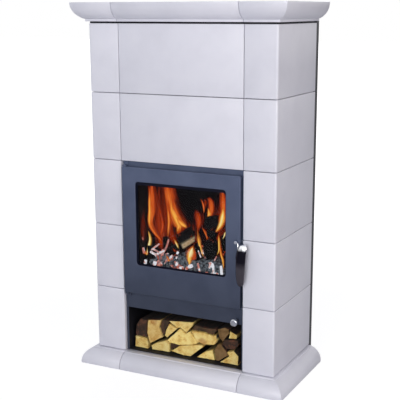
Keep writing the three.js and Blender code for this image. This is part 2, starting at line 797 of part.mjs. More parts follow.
// Fireclay bricks on the chamber's sides and back, and the baffle that lies across them.
function addLinings() {
  addPiece('lining_left', fireclay, block(
    -chamberHalfWidth,
    -mouthHalfWidth,
    chamberFrontY,
    chamberBackY,
    liningBase,
    liningTop,
  ));
  addPiece('lining_right', fireclay, block(
    mouthHalfWidth,
    chamberHalfWidth,
    chamberFrontY,
    chamberBackY,
    liningBase,
    liningTop,
  ));
  const rearHalf = mouthHalfWidth - seatGap;
  const rearFace = chamberBackY - rearLiningWall;
  addPiece('lining_rear', fireclay, midBlock(rearHalf, rearFace, chamberBackY, liningBase, liningTop));
  const baffleFront = chamberFrontY + baffleFrontGap;
  const baffleBase = liningTop + seatGap;
  const baffleTop = baffleBase + baffleThickness;
  const baffle = midBlock(chamberHalfWidth, baffleFront, chamberBackY, baffleBase, baffleTop);
  addPiece('baffle', fireclay, baffle);
}

function addFlueCollar() {
  const y0 = fireboxBackY + seatGap;
  const y1 = backY + flueReach;
  let collar = barBack(0, flueHeight, flueOuterRadius, y0, y1);
  collar = collar.add(barBack(0, flueHeight, flueFlangeRadius, y0, y0 + flueFlange));
  collar = collar.subtract(barBack(0, flueHeight, flueOuterRadius - flueWall, y0 - 1, y1 + 1));
  addPiece('flue_collar', darkSteel, collar);
}

// The door panel: a folded pan with the window, the seal's rib and a boss for each hinge pin.
function addDoorPanel() {
  const half = doorWidth / 2;
  const outline = roundedRectangle(-half, half, doorBottom, doorTop, doorCorner);
  let panel = prismBack(outline, doorFrontY, doorBackY);
  const inner = half - doorEdgeWall;
  const hollow = midBlock(
    inner,
    doorPanelBackY,
    doorBackY + 1,
    doorBottom + doorEdgeWall,
    doorTop - doorEdgeWall,
  );
  panel = panel.subtract(hollow);
  const ribBackY = doorPanelBackY + sealRibHeight;
  panel = panel.add(flatFrame(
    sealOuterX,
    sealBottom,
    sealTop,
    sealWidth,
    doorCorner,
    doorPanelBackY - 1,
    ribBackY,
  ));
  const windowShape = roundedRectangle(
    -windowHalfWidth,
    windowHalfWidth,
    windowBottom,
    windowTop,
    windowCorner,
  );
  panel = panel.subtract(prismBack(windowShape, doorFrontY - 1, doorPanelBackY + 1));
  const bossX = -inner - 1;
  for (const z0 of [doorBottom + 1, doorTop - hingeBossHeight - 1]) {
    const z1 = z0 + hingeBossHeight;
    panel = panel.add(block(bossX, bossX + hingeBossWidth, doorPanelBackY - 1, doorBackY, z0, z1));
  }
  const boreDepth = hingePinReach + 1;
  const boreRadius = hingePinRadius + turnGap;
  panel = panel.subtract(barUp(hingeX, hingeY, boreRadius, doorBottom - 1, doorBottom + boreDepth));
  panel = panel.subtract(barUp(hingeX, hingeY, boreRadius, doorTop - boreDepth, doorTop + 1));
  const spindleBore = barBack(spindleX, spindleHeight, spindleRadius + turnGap, doorFrontY - 1, doorBackY);
  addPiece('door_panel', greySteel, panel.subtract(spindleBore));
}

// The glass with its flat gasket in front and its retaining frame behind, and the rope seal.
function addGlazing() {
  const half = windowHalfWidth + glassOverlap;
  const z0 = windowBottom - glassOverlap;
  const z1 = windowTop + glassOverlap;
  const gasketY = doorPanelBackY + seatGap;
  const glassY = gasketY + gasketThickness + seatGap;
  const retainerY = glassY + glassThickness + seatGap;
  const gasketBack = gasketY + gasketThickness;
  addPiece('glass_gasket', ropeSeal, flatFrame(half, z0, z1, gasketWidth, windowCorner, gasketY, gasketBack));
  const paneShape = roundedRectangle(-half, half, z0, z1, windowCorner);
  addPiece('door_glass', glass, prismBack(paneShape, glassY, glassY + glassThickness));
  const retainerBack = retainerY + retainerThickness;
  const retainer = flatFrame(half, z0, z1, retainerWidth, windowCorner, retainerY, retainerBack);
  addPiece('glass_retainer', darkSteel, retainer);
  addPiece('door_seal', ropeSeal, flatFrame(
    sealOuterX,
    sealBottom,
    sealTop,
    sealWidth,
    doorCorner,
    doorPanelBackY + sealRibHeight + seatGap,
    fasciaFrontY - seatGap,
  ));
}

// One hinge: a bent tab on the front plate with a headed pin pressed into it, which the door turns on.
function addHinge(name, edgeZ, up) {
  const tabNear = edgeZ + up * seatGap;
  const tabFar = tabNear + up * hingeTab;
  const legFar = tabFar + up * hingeLegHeight;
  const x0 = hingeX - hingeTabWidth / 2 + 1;
  const x1 = x0 + hingeTabWidth;
  const y1 = fasciaFrontY - seatGap;
  const level = (a, b) => [Math.min(a, b), Math.max(a, b)];
  let bracket = block(x0, x1, hingeY - hingeTabFront, y1, ...level(tabNear, tabFar));
  bracket = bracket.add(block(x0, x1, y1 - hingeLegSheet, y1, ...level(tabNear, legFar)));
  const pinEnd = edgeZ - up * hingePinReach;
  bracket = bracket.add(barUp(hingeX, hingeY, hingePinRadius, ...level(pinEnd, tabFar)));
  const headEnd = tabFar + up * hingeHeadHeight;
  bracket = bracket.add(barUp(hingeX, hingeY, hingeHeadRadius, ...level(tabFar - up, headEnd)));
  addPiece(`hinge_bracket_${name}`, greySteel, bracket);
}

// The spindle: it turns in the door and carries the latch tongue behind it.
function addSpindle() {
  const y0 = doorFrontY - seatGap - spindleGrip;
  let spindle = barBack(spindleX, spindleHeight, spindleRadius, y0, latchBackY);
  const collarFrontY = doorPanelBackY + seatGap;
  const collarBackY = collarFrontY + spindleCollar;
  const collar = barBack(spindleX, spindleHeight, spindleCollarRadius, collarFrontY, collarBackY);
  spindle = spindle.add(collar);
  spindle = spindle.add(block(
    spindleX,
    fasciaHalfWidth - latchTipGap,
    latchFrontY,
    latchBackY,
    spindleHeight - latchHalfHeight,
    spindleHeight + latchHalfHeight,
  ));
  addPiece('handle_spindle', chrome, spindle);
}

function curveThrough(points, steps) {
  const curve = new THREE.SplineCurve(points.map(([a, b]) => new THREE.Vector2(a, b)));
  return curve.getPoints(steps).map((point) => [point.x, point.y]);
}

// The handle: a boss on the spindle and a bowed grip that hangs beside it.
function addHandle() {
  const tip = spindleHeight - leverLength;
  const gripX = spindleX + leverShift;
  const right = gripX + leverHalfWidth;
  const left = gripX - leverHalfWidth;
  const middle = spindleHeight - leverLength * 0.52;
  const top = spindleHeight + bossRadius;
  const front = curveThrough([
    [spindleX - bossRadius + 3, top - 5],
    [spindleX + 4, top],
    [gripX, top - 3],
    [right - 2, spindleHeight - bossRadius],
    [right, middle],
    [gripX + leverTipHalfWidth, tip + 8],
    [gripX, tip],
    [gripX - leverTipHalfWidth, tip + 8],
    [left, middle],
    [left + 1, spindleHeight - 3 * bossRadius],
    [spindleX - 2, spindleHeight - bossRadius + 2],
    [spindleX - bossRadius + 3, top - 5],
  ], 44);
  front.pop();
  const outer = [
    [doorFrontY - bossLength + 4, top + 2],
    [doorFrontY - leverTipStandOff - 2, top - 6],
    [doorFrontY - leverStandOff + 2, spindleHeight - leverLength * 0.16],
    [doorFrontY - leverStandOff, spindleHeight - leverLength * 0.42],
    [doorFrontY - leverStandOff + 4, spindleHeight - leverLength * 0.74],
    [doorFrontY - leverTipStandOff, tip - 2],
  ];
  const inner = [
    [doorFrontY - leverTipStandOff + leverThickness, tip - 2],
    [doorFrontY - leverStandOff + 4 + leverThickness, spindleHeight - leverLength * 0.74],
    [doorFrontY - leverStandOff + leverThickness, spindleHeight - leverLength * 0.42],
    [doorFrontY - leverStandOff + 2 + leverThickness, spindleHeight - leverLength * 0.18],
    [doorFrontY - bossLength - 1, spindleHeight - 4],
    [doorFrontY - bossLength + 6, top - 8],
  ];
  const side = [...curveThrough(outer, 14), ...curveThrough(inner, 14)];
  const bowed = prismAcross(shapeOf(side), left - 2 * bossRadius - leverShift, right + 1);
  let handle = bowed.intersect(prismBack(shapeOf(front), doorFrontY - 2 * leverStandOff, doorFrontY));
  const back = doorFrontY - seatGap;
  handle = handle.add(barBack(spindleX, spindleHeight, bossRadius, doorFrontY - bossLength, back));
  const boreFront = back - spindleGrip - turnGap;
  const bore = barBack(spindleX, spindleHeight, spindleRadius + turnGap, boreFront, back + 1);
  addPiece('door_handle', chrome, handle.subtract(bore));
}

// The air control: a turned knob on a rod whose far end carries a slide plate under the air port.
function addAirControl() {
  const knobBackY = fasciaFrontY - knobNeck;
  const knobFrontY = knobBackY - knobLength;
  const waist = knobRadius * 0.6;
  const profile = [
    [0, 0],
    [knobRadius - 2, 0],
    [knobRadius, 2],
    [knobRadius, knobLength - 8],
    [waist, knobLength - 4],
    [waist, knobLength],
    [0, knobLength],
  ];
  const turned = new THREE.LatheGeometry(profile.map(([r, h]) => new THREE.Vector2(r, h)), roundSides);
  turned.translate(knobX, knobFrontY, knobHeight);
  const socket = barBack(knobX, knobHeight, rodRadius + turnGap, knobBackY - rodIntoKnob, knobBackY + 1);
  addPiece('air_knob', chrome, solidOf(turned).subtract(socket));
  const plateY = fireboxFrontY + slideFromFront;
  const rodFront = knobBackY - rodIntoKnob + seatGap;
  let slide = barBack(knobX, knobHeight, rodRadius, rodFront, plateY + slidePlate);
  slide = slide.add(block(
    airPortX - airPortHalfWidth - slideOverlap,
    knobX + rodRadius,
    plateY,
    plateY + slideDepth,
    slideTop - slidePlate,
    slideTop,
  ));
  slide = slide.add(block(
    knobX - rodRadius,
    knobX + rodRadius,
    plateY,
    plateY + slidePlate,
    knobHeight - rodRadius,
    slideTop,
  ));
  addPiece('air_slide', darkSteel, slide);
}

function addLogs() {
  const points = logOutlines.flat();
  const acrossScale = (storeHalfWidth - logSideGap) / Math.max(...points.map(([x]) => Math.abs(x)));
  const upScale = (nicheHeight - logHeadroom) / Math.max(...points.map(([, z]) => z));
  const y0 = fasciaFrontY + logSetBack;
  const y1 = storeBackY - logRearGap;
  logOutlines.forEach((outline, i) => {
    const shape = shapeOf(outline.map(([x, z]) => [x * acrossScale, storeFloor + z * upScale]));
    addPiece(`firewood_${i + 1}`, splitWood, prismBack(shape, y0, y1));
  });
}

// The fire: a heap of embers on the hearth, two round logs one above the other and a broken one.
function addFire() {
  const z0 = mouthBottom + seatGap;
  const bedTop = mouthBottom + emberHeight;
  const y0 = chamberFrontY + emberFromFront;
  const y1 = y0 + emberDepth;
  const heap = (from, to) => {
    const crest = [[to - emberSlope, bedTop], [from + emberSlope, bedTop]];
    return shapeOf([[from, z0], [to, z0], ...crest]);
  };
  const half = mouthHalfWidth - emberSideGap;
  const across = prismBack(heap(-half, half), y0, y1);
  const along = prismAcross(heap(y0, y1), -half, half);
  addPiece('ember_bed', ember, across.intersect(along));
  const seat = bedTop + seatGap;
  const logFront = chamberFrontY + charredFromFront;
  const roundLog = (x, z, acrossRadius, upRadius, length) => {
    const shape = new THREE.Shape();
    shape.absellipse(x, z, acrossRadius, upRadius, 0, 2 * Math.PI);
    return prismBack(shape, logFront, logFront + length);
  };
  const charredZ = seat + charredHalfHeight;
  const charred = roundLog(charredX, charredZ, charredHalfWidth, charredHalfHeight, charredLength);
  addPiece('burning_log_1', charcoal, charred);
  const topZ = charredZ + charredHalfHeight + seatGap + topLogRadius;
  const topLog = roundLog(charredX, topZ, topLogRadius, topLogRadius, charredLength);
  addPiece('burning_log_2', charcoal, topLog);
  const broken = extrude(shapeOf(brokenLogOutline), brokenLogLength);
  broken.rotateX(Math.PI / 2);
  broken.translate(0, brokenLogLength / 2, 0);
  broken.rotateZ(THREE.MathUtils.degToRad(brokenLogTurn - 90));
  broken.translate(brokenLogX, chamberFrontY + brokenLogFromFront, seat);
  addPiece('burning_log_3', charcoal, solidOf(broken));
}

addTiles();
addMouldings('plinth', plinthProfile(), 0);
addMouldings('cornice', corniceProfile(), corniceBase);
addCarcass();
addRearCasing();
addCarrierPlate();
addTopCover();
addFrontFascia();
addLogStore();
addFireboxShell();
addAirBox();
addSmokeHood();
addHearth();
addGrate();
addAshPan();
addLinings();
addFlueCollar();
addDoorPanel();
addGlazing();
addHinge('upper', doorTop, 1);
addHinge('lower', doorBottom, -1);
addSpindle();
addHandle();
addAirControl();
addLogs();
addFire();

export default stove;
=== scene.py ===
import math
import random

import bpy
import bmesh
from mathutils import Matrix, Vector, noise


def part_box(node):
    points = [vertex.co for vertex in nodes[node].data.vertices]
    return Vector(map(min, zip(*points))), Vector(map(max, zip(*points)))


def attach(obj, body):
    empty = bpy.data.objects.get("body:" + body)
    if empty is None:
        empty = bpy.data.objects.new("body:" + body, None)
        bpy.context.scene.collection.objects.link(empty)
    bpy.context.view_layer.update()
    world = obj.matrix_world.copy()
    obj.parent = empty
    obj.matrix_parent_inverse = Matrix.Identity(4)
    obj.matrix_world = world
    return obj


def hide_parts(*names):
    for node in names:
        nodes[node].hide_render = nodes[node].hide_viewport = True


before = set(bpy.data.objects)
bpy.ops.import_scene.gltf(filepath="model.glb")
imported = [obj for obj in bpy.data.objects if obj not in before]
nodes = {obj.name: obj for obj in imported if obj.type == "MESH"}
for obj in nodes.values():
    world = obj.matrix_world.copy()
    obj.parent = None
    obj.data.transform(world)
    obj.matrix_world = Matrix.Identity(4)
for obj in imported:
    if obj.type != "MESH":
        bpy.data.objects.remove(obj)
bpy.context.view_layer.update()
mm = 0.001
print("frame loaded with", len(nodes), "nodes")


def linearColour(hexText, alpha=1.0):
    parts = [int(hexText[i:i + 2], 16) / 255 for i in (1, 3, 5)]
    return tuple(c / 12.92 if c <= 0.04045 else ((c + 0.055) / 1.055) ** 2.4 for c in parts) + (alpha,)


def addNode(tree, kind, settings=None, links=None):
    # settings are the node's own properties, links its sockets: a value, or another node's output
    node = tree.nodes.new(kind)
    for key, value in (settings or {}).items():
        if key == "stops":
            ramp = node.color_ramp
            while len(ramp.elements) < len(value):
                ramp.elements.new(0.5)
            for element, (place, colour) in zip(ramp.elements, value):
                element.position = place
                element.color = linearColour(colour)
        else:
            setattr(node, key, value)
    for key, value in (links or {}).items():
        socket = node.inputs[key]
        if isinstance(value, bpy.types.NodeSocket):
            tree.links.new(value, socket)
        else:
            socket.default_value = linearColour(value) if isinstance(value, str) and value[0] == "#" else value
    return node


def noiseFac(tree, point, sizeMm, detail, **more):
    links = {"Vector": point, "Scale": 1 / (sizeMm * mm), "Detail": detail, **more}
    return addNode(tree, "ShaderNodeTexNoise", None, links).outputs["Fac"]


def calc(tree, operation, *values):
    return addNode(tree, "ShaderNodeMath", {"operation": operation}, dict(enumerate(values))).outputs[0]


def calcVector(tree, operation, *values):
    node = addNode(tree, "ShaderNodeVectorMath", {"operation": operation}, dict(enumerate(values)))
    return node.outputs["Value" if operation == "LENGTH" else "Vector"]


def scaled(tree, vector, factor):
    return addNode(tree, "ShaderNodeVectorMath", {"operation": "SCALE"}, {0: vector, "Scale": factor}).outputs[0]


def remap(tree, value, start, end, toStart, toEnd, smooth=False):
    settings = {"interpolation_type": "SMOOTHSTEP"} if smooth else None
    return addNode(tree, "ShaderNodeMapRange", settings, {
        "Value": value, "From Min": start, "From Max": end, "To Min": toStart, "To Max": toEnd}).outputs[0]


def ramped(tree, value, *stops):
    return addNode(tree, "ShaderNodeValToRGB", {"stops": stops}, {"Fac": value}).outputs["Color"]


def mixedColour(tree, share, first, second, blend="MIX"):
    return addNode(tree, "ShaderNodeMix", {"data_type": "RGBA", "blend_type": blend}, {
        0: share, 6: first, 7: second}).outputs[2]


def mixedShader(tree, share, first, second):
    return addNode(tree, "ShaderNodeMixShader", None, {0: share, 1: first, 2: second}).outputs[0]


def mapped(tree, point, scale=(1, 1, 1), turn=(0, 0, 0)):
    return addNode(tree, "ShaderNodeMapping", None, {"Vector": point, "Rotation": turn, "Scale": scale}).outputs[0]


def edgeCells(tree, point, sizeMm):
    return addNode(tree, "ShaderNodeTexVoronoi", {"feature": "DISTANCE_TO_EDGE"}, {
        "Vector": point, "Scale": 1 / (sizeMm * mm)}).outputs["Distance"]


def attribute(tree, name, output="Fac"):
    return addNode(tree, "ShaderNodeAttribute", {"attribute_name": name}).outputs[output]


def axisOf(tree, vector, axis):
    return addNode(tree, "ShaderNodeSeparateXYZ", None, {0: vector}).outputs[axis]


def bumped(tree, height, strength, depthMm):
    return addNode(tree, "ShaderNodeBump", None, {
        "Strength": strength, "Distance": depthMm * mm, "Height": height}).outputs[0]


def startMaterial(name):
    material = bpy.data.materials.new(name)
    material.use_nodes = True
    tree = material.node_tree
    tree.nodes.clear()
    coords = tree.nodes.new("ShaderNodeTexCoord").outputs["Object"]
    return material, tree, coords


def finishMaterial(tree, surface):
    addNode(tree, "ShaderNodeOutputMaterial", links={"Surface": surface})


def finishSurface(tree, colour, roughness, more):
    shader = addNode(tree, "ShaderNodeBsdfPrincipled", None, {"Base Color": colour, "Roughness": roughness, **more})
    finishMaterial(tree, shader.outputs[0])


def meshPiece(name, mesh, material, sharpAngle=32):
    piece = bpy.data.objects.new(name, mesh)
    bpy.context.scene.collection.objects.link(piece)
    for face in mesh.polygons:
        face.use_smooth = True
    mesh.set_sharp_from_angle(angle=math.radians(sharpAngle))
    if material:
        mesh.materials.clear()
        mesh.materials.append(material)
    return piece


def newMesh(name, verts, faces):
    mesh = bpy.data.meshes.new(name)
    mesh.from_pydata(verts, [], faces)
    return mesh


def giveAttribute(mesh, name, kind, values):
    field = {"FLOAT": "value", "FLOAT_VECTOR": "vector", "FLOAT_COLOR": "color"}[kind]
    flat = values if kind == "FLOAT" else [part for value in values for part in value]
    mesh.attributes.new(name, kind, "POINT").data.foreach_set(field, flat)


def shapeToMesh(name, shape):
    mesh = bpy.data.meshes.new(name)
    shape.to_mesh(mesh)
    shape.free()
    return mesh


def skinRings(shape, rings):
    # joins a row of equal rings into a closed skin
    for first, second in zip(rings, rings[1:]):
        for j in range(len(first)):
            i = (j + 1) % len(first)
            shape.faces.new((first[j], first[i], second[i], second[j]))
    shape.faces.new(list(reversed(rings[0])))
    shape.faces.new(rings[-1])


def smoothSpot(points, share):
    # the place on a Catmull-Rom curve through the points, and its direction
    k = min(int(share), len(points) - 2)
    t = share - k
    p0, p1, p2, p3 = points[max(k - 1, 0)], points[k], points[k + 1], points[min(k + 2, len(points) - 1)]
    square, cube = 2 * p0 - 5 * p1 + 4 * p2 - p3, 3 * p1 - p0 - 3 * p2 + p3
    spot = 0.5 * (2 * p1 + (p2 - p0) * t + square * t ** 2 + cube * t ** 3)
    return spot, 0.5 * (p2 - p0)


def softenEdges(shape, width, segments, sharpest=30):
    sharp = [e for e in shape.edges if e.is_manifold and e.calc_face_angle(0) > math.radians(sharpest)]
    bmesh.ops.bevel(
        shape, geom=sharp, offset=width, offset_type="OFFSET", segments=segments,
        profile=0.5, affect="EDGES", clamp_overlap=False,
    )
    bmesh.ops.recalc_face_normals(shape, faces=shape.faces)


def mergedCopy(nodeName, joinFlats=True):
    # a face with a hole in it can't be joined into one, so framed pieces keep their triangles
    shape = bmesh.new()
    shape.from_mesh(nodes[nodeName].data)
    bmesh.ops.remove_doubles(shape, verts=shape.verts, dist=0.02 * mm)
    if joinFlats:
        bmesh.ops.dissolve_limit(shape, angle_limit=math.radians(1), verts=shape.verts, edges=shape.edges)
    return shape


def softenedNode(nodeName, pieceName, material, width, segments, body):
    shape = mergedCopy(nodeName, False)
    softenEdges(shape, width * mm, segments)
    piece = meshPiece(pieceName, shapeToMesh(pieceName, shape), material)
    level = piece.modifiers.new("level", "WEIGHTED_NORMAL")  # so that a rounded edge doesn't shade the flat beside it
    level.keep_sharp = True
    level.weight = 100
    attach(piece, body)
    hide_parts(nodeName)


def nodesResult(name, mesh, tree, values):
    # runs a Geometry Nodes tree on a mesh and keeps the result as a plain mesh
    holder = bpy.data.objects.new(name + "Holder", mesh)
    bpy.context.scene.collection.objects.link(holder)
    modifier = holder.modifiers.new("build", "NODES")
    modifier.node_group = tree
    for item in tree.interface.items_tree:
        if item.item_type == "SOCKET" and item.in_out == "INPUT" and item.name in values:
            modifier[item.identifier] = values[item.name]
    depsgraph = bpy.context.evaluated_depsgraph_get()
    depsgraph.update()
    result = bpy.data.meshes.new_from_object(holder.evaluated_get(depsgraph), depsgraph=depsgraph)
    result.name = name
    bpy.data.objects.remove(holder)
    return meshPiece(name, result, None)


def startTree(name, inputs):
    tree = bpy.data.node_groups.new(name, "GeometryNodeTree")
    tree.interface.new_socket("Geometry", in_out="OUTPUT", socket_type="NodeSocketGeometry")
    tree.interface.new_socket("Geometry", in_out="INPUT", socket_type="NodeSocketGeometry")
    for label, kind in inputs.items():
        tree.interface.new_socket(label, in_out="INPUT", socket_type="NodeSocket" + kind)
    return tree, addNode(tree, "NodeGroupInput").outputs


def instanced(tree, points, instance, **turns):
    return addNode(tree, "GeometryNodeInstanceOnPoints", None, {
        "Points": points, "Instance": instance, **turns}).outputs[0]


def keepOnInstances(tree, geometry, name, value):
    return addNode(tree, "GeometryNodeStoreNamedAttribute", {"data_type": "FLOAT", "domain": "INSTANCE"}, {
        "Geometry": geometry, "Name": name, "Value": value}).outputs[0]


def realized(tree, geometry):
    return addNode(tree, "GeometryNodeRealizeInstances", None, {"Geometry": geometry}).outputs[0]


def finishTree(tree, geometry, material):
    done = addNode(tree, "GeometryNodeSetMaterial", None, {"Geometry": geometry, "Material": material})
    addNode(tree, "NodeGroupOutput", None, {"Geometry": done.outputs[0]})
    return tree


def mixedNoise(point, size, seed=0.0):
    return noise.noise(Vector(point) / size + Vector((seed * 7.3, seed * 3.1, seed * 5.7)))


# Bars of uneven round wood: steps round and along, and how knotty
barSet = {"around": 20, "along": 14, "rough": 0.1}


def roughBar(shape, line, acrossHalf, upHalf, seed, taper=0.93):
    # a closed bar with a knotty surface along a line of points
    points = [Vector(p) for p in line]
    ahead = (points[-1] - points[0]).normalized()
    side = ahead.cross(Vector((0, 0, 1)) if abs(ahead.z) < 0.9 else Vector((0, 1, 0))).normalized()
    up = side.cross(ahead)
    rings = []
    for k in range(barSet["along"] + 1):
        share = k / barSet["along"] * (len(points) - 1)
        i = min(int(share), len(points) - 2)
        spot = points[i].lerp(points[i + 1], share - i)
        swell = taper if k in (0, barSet["along"]) else 1.0
        ring = []
        for j in range(barSet["around"]):
            angle = 2 * math.pi * j / barSet["around"]
            out, lift = math.cos(angle), math.sin(angle)
            knot = swell * (1 + barSet["rough"] * mixedNoise((out * 2, lift * 2, k / 5), 1, seed))
            ring.append(shape.verts.new((spot + side * out * acrossHalf * knot + up * lift * upHalf * knot) * mm))
        rings.append(ring)
    skinRings(shape, rings)


# Tin-glazed stove ware, pressed fireclay under a white satin glaze: a cool white with faint pooling,
# a slow waviness that bends reflections, and pinholes. Each tile has its own tone from the kiln
glazeLook = {"colour": "#DADAE4", "thin": "#D6D6E0", "pooled": "#DDDDE6", "cloudMm": 90, "waveMm": 16, "speckMm": 1.6,
             "kilnShade": 0.965, "speckShade": 0.93, "roughness": (0.36, 0.54), "bump": (0.12, 1.0),
             "more": {"IOR": 1.5, "Coat Weight": 0.15, "Coat Roughness": 0.22}}


def tinGlaze():
    material, tree, coords = startMaterial("tinGlazedStoveWare")
    clouds = noiseFac(tree, coords, glazeLook["cloudMm"], 3.0)
    tone = ramped(tree, clouds, (0.3, glazeLook["thin"]), (0.5, glazeLook["colour"]), (0.72, glazeLook["pooled"]))
    kiln = remap(tree, attribute(tree, "kilnTone"), 0, 1, glazeLook["kilnShade"], 1)
    specks = remap(tree, noiseFac(tree, coords, glazeLook["speckMm"], 1.0), 0.22, 0.28, glazeLook["speckShade"], 1)
    colour = scaled(tree, tone, calc(tree, "MULTIPLY", kiln, specks))
    wave = bumped(tree, noiseFac(tree, coords, glazeLook["waveMm"], 2.0), *glazeLook["bump"])
    rough = remap(tree, clouds, 0, 1, *glazeLook["roughness"])
    finishSurface(tree, colour, rough, {"Normal": wave, **glazeLook["more"]})
    return material


# Heat-proof silicone paint, sprayed on sheet steel: an even satin coat with a fine grain, blue-grey with
# aluminium flake, matt black, or grey primer. The grain is drawn coarser than real flake, so that it shows.
# Painted shade: the colour is darkened low down, standing in for the shade low on the stove; its entry holds the two
# heights in metres and the share of colour left there
paintSet = {"cloudMm": 70, "bump": (0.2, 0.15)}
paintLook = {"colour": "#49536D", "worn": "#545E78", "grainMm": 0.9, "roughness": (0.36, 0.5), "gloss": 0.5,
             "metallic": 0.25, "paintedLowShade": (0.24, 0.66, 0.42)}
blackLook = {"colour": "#121217", "worn": "#1D1C22", "grainMm": 1.2, "roughness": (0.54, 0.68), "gloss": 0.2,
             "metallic": 0, "paintedLowShade": (0, 1.2, 0.9)}
rearLook = {"colour": "#26262B", "worn": "#35353B", "grainMm": 1.6, "roughness": (0.44, 0.58), "gloss": 0.4,
            "metallic": 0.1, "paintedLowShade": (0, 1.2, 0.9)}


def stovePaint(name, look):
    material, tree, coords = startMaterial(name)
    grain = noiseFac(tree, coords, look["grainMm"], 2.0)
    clouds = noiseFac(tree, coords, paintSet["cloudMm"], 4.0)
    tone = ramped(tree, calc(tree, "MULTIPLY_ADD", grain, 0.6, clouds), (0.55, look["colour"]), (0.95, look["worn"]))
    # painted shade: the colour darkens towards the bottom
    lowest, highest, share = look["paintedLowShade"]
    paintedLowShade = remap(tree, axisOf(tree, coords, "Z"), lowest, highest, share, 1)
    finishSurface(tree, scaled(tree, tone, paintedLowShade), remap(tree, clouds, 0, 1, *look["roughness"]), {
        "Metallic": look["metallic"], "Specular IOR Level": look["gloss"],
        "Normal": bumped(tree, grain, *paintSet["bump"])})
    return material


# Grey cast iron from a sand mould: dark, grainy and half dull, with ash in its pits
ironLook = {"colour": "#1C1B1E", "ash": "#5A5854", "sandMm": 1.4, "ashMm": 18, "bump": (0.6, 0.4)}


def sandCastIron():
    material, tree, coords = startMaterial("sandCastIron")
    ash = noiseFac(tree, coords, ironLook["ashMm"], 5.0)
    tone = ramped(tree, ash, (0.5, ironLook["colour"]), (0.7, ironLook["ash"]))
    sand = bumped(tree, noiseFac(tree, coords, ironLook["sandMm"], 3.0), *ironLook["bump"])
    finishSurface(tree, tone, 0.65, {"Metallic": 0.6, "Normal": sand})
    return material


# Cast chamotte brick: matt grit, black with soot, with clouds of burnt brick showing through
chamotteLook = {"brick": "#2B2725", "soot": "#040404", "gritMm": 2.2, "cloudMm": 60, "gritShade": 0.75,
                "bump": (0.5, 0.5)}


def sootyChamotte():
    material, tree, coords = startMaterial("sootyChamotte")
    grit = addNode(tree, "ShaderNodeTexVoronoi", None, {
        "Vector": coords, "Scale": 1 / (chamotteLook["gritMm"] * mm)}).outputs["Distance"]
    clouds = noiseFac(tree, coords, chamotteLook["cloudMm"], 6.0)
    tone = ramped(tree, clouds, (0.56, chamotteLook["soot"]), (0.86, chamotteLook["brick"]))
    colour = scaled(tree, tone, remap(tree, grit, 0, 0.5, chamotteLook["gritShade"], 1))
    finishSurface(tree, colour, 0.95, {
        "Specular IOR Level": 0.15, "Normal": bumped(tree, grit, *chamotteLook["bump"])})
    return material


# Chrome plate over a polished casting: mirror bright, a little cool, with faint upright wipe marks
chromeLook = {"colour": "#D5D8E0", "dull": "#BFC3CD", "wipeMm": 5, "stretch": (1, 1, 0.15), "roughness": (0.04, 0.15)}


def chromePlate():
    material, tree, coords = startMaterial("chromePlate")
    wipe = noiseFac(tree, mapped(tree, coords, chromeLook["stretch"]), chromeLook["wipeMm"], 3.0)
    tone = ramped(tree, wipe, (0.3, chromeLook["dull"]), (0.7, chromeLook["colour"]))
    finishSurface(tree, tone, remap(tree, wipe, 0, 1, *chromeLook["roughness"]), {"Metallic": 1})
    return material


# Clear glass ceramic, rolled and polished: it shows the fire, mirrors a little, carries a thin veil of
# smoke, and has a black band round its edge
glassLook = {"border": "#0E1020", "veil": "#2A2C33", "halfWidthMm": 161, "lowMm": 376, "highMm": 646, "cornerMm": 9,
             "smokeMm": 55, "smoke": (0.02, 0.08), "mirror": 0.12, "clear": (0.96, 0.95, 0.94, 1)}


def glassCeramic():
    material, tree, coords = startMaterial("glassCeramic")
    middle = (glassLook["lowMm"] + glassLook["highMm"]) / 2
    high = (glassLook["highMm"] - glassLook["lowMm"]) / 2
    corner = glassLook["cornerMm"]
    away = calcVector(tree, "ABSOLUTE", calcVector(tree, "SUBTRACT", coords, (0, 0, middle * mm)))
    past = calcVector(tree, "SUBTRACT", away, ((glassLook["halfWidthMm"] - corner) * mm, 1, (high - corner) * mm))
    reach = calcVector(tree, "LENGTH", calcVector(tree, "MAXIMUM", past, (0, 0, 0)))
    # a black band round the edge of the pane
    blackBand = calc(tree, "GREATER_THAN", reach, corner * mm)
    smoke = remap(tree, noiseFac(tree, coords, glassLook["smokeMm"], 4.0), 0, 1, *glassLook["smoke"])
    fresnel = addNode(tree, "ShaderNodeFresnel", None, {"IOR": 1.5}).outputs[0]
    veil = addNode(tree, "ShaderNodeBsdfDiffuse", None, {"Color": glassLook["veil"]}).outputs[0]
    through = addNode(tree, "ShaderNodeBsdfTransparent", None, {"Color": glassLook["clear"]}).outputs[0]
    mirror = addNode(tree, "ShaderNodeBsdfGlossy", None, {"Roughness": 0.03}).outputs[0]
    blackBandCoat = addNode(tree, "ShaderNodeBsdfPrincipled", None, {
        "Base Color": glassLook["border"], "Roughness": 0.35, "Specular IOR Level": 0.12}).outputs[0]
    pane = mixedShader(tree, calc(tree, "MULTIPLY", fresnel, glassLook["mirror"]),
                       mixedShader(tree, smoke, through, veil), mirror)
    finishMaterial(tree, mixedShader(tree, blackBand, pane, blackBandCoat))
    return material


# Knitted glass-fibre rope: dull grey-black, with slanting plies 3 mm apart. A wave texture has about
# 0.31 of its scale as bands in a metre
ropeLook = {"colour": "#2E2C2A", "light": "#5A5753", "plyMm": 3.0, "slant": 38, "waveShare": 0.31, "bump": (0.8, 0.6)}


def glassFibreRope():
    material, tree, coords = startMaterial("glassFibreRope")
    turned = mapped(tree, coords, turn=(0, math.radians(ropeLook["slant"]), 0))
    plies = addNode(tree, "ShaderNodeTexWave", {"bands_direction": "X"}, {
        "Vector": turned, "Scale": ropeLook["waveShare"] / (ropeLook["plyMm"] * mm),
        "Distortion": 1.5, "Detail Scale": 2.0}).outputs["Fac"]
    tone = ramped(tree, plies, (0.2, ropeLook["colour"]), (0.9, ropeLook["light"]))
    finishSurface(tree, tone, 0.95, {"Normal": bumped(tree, plies, *ropeLook["bump"])})
    return material
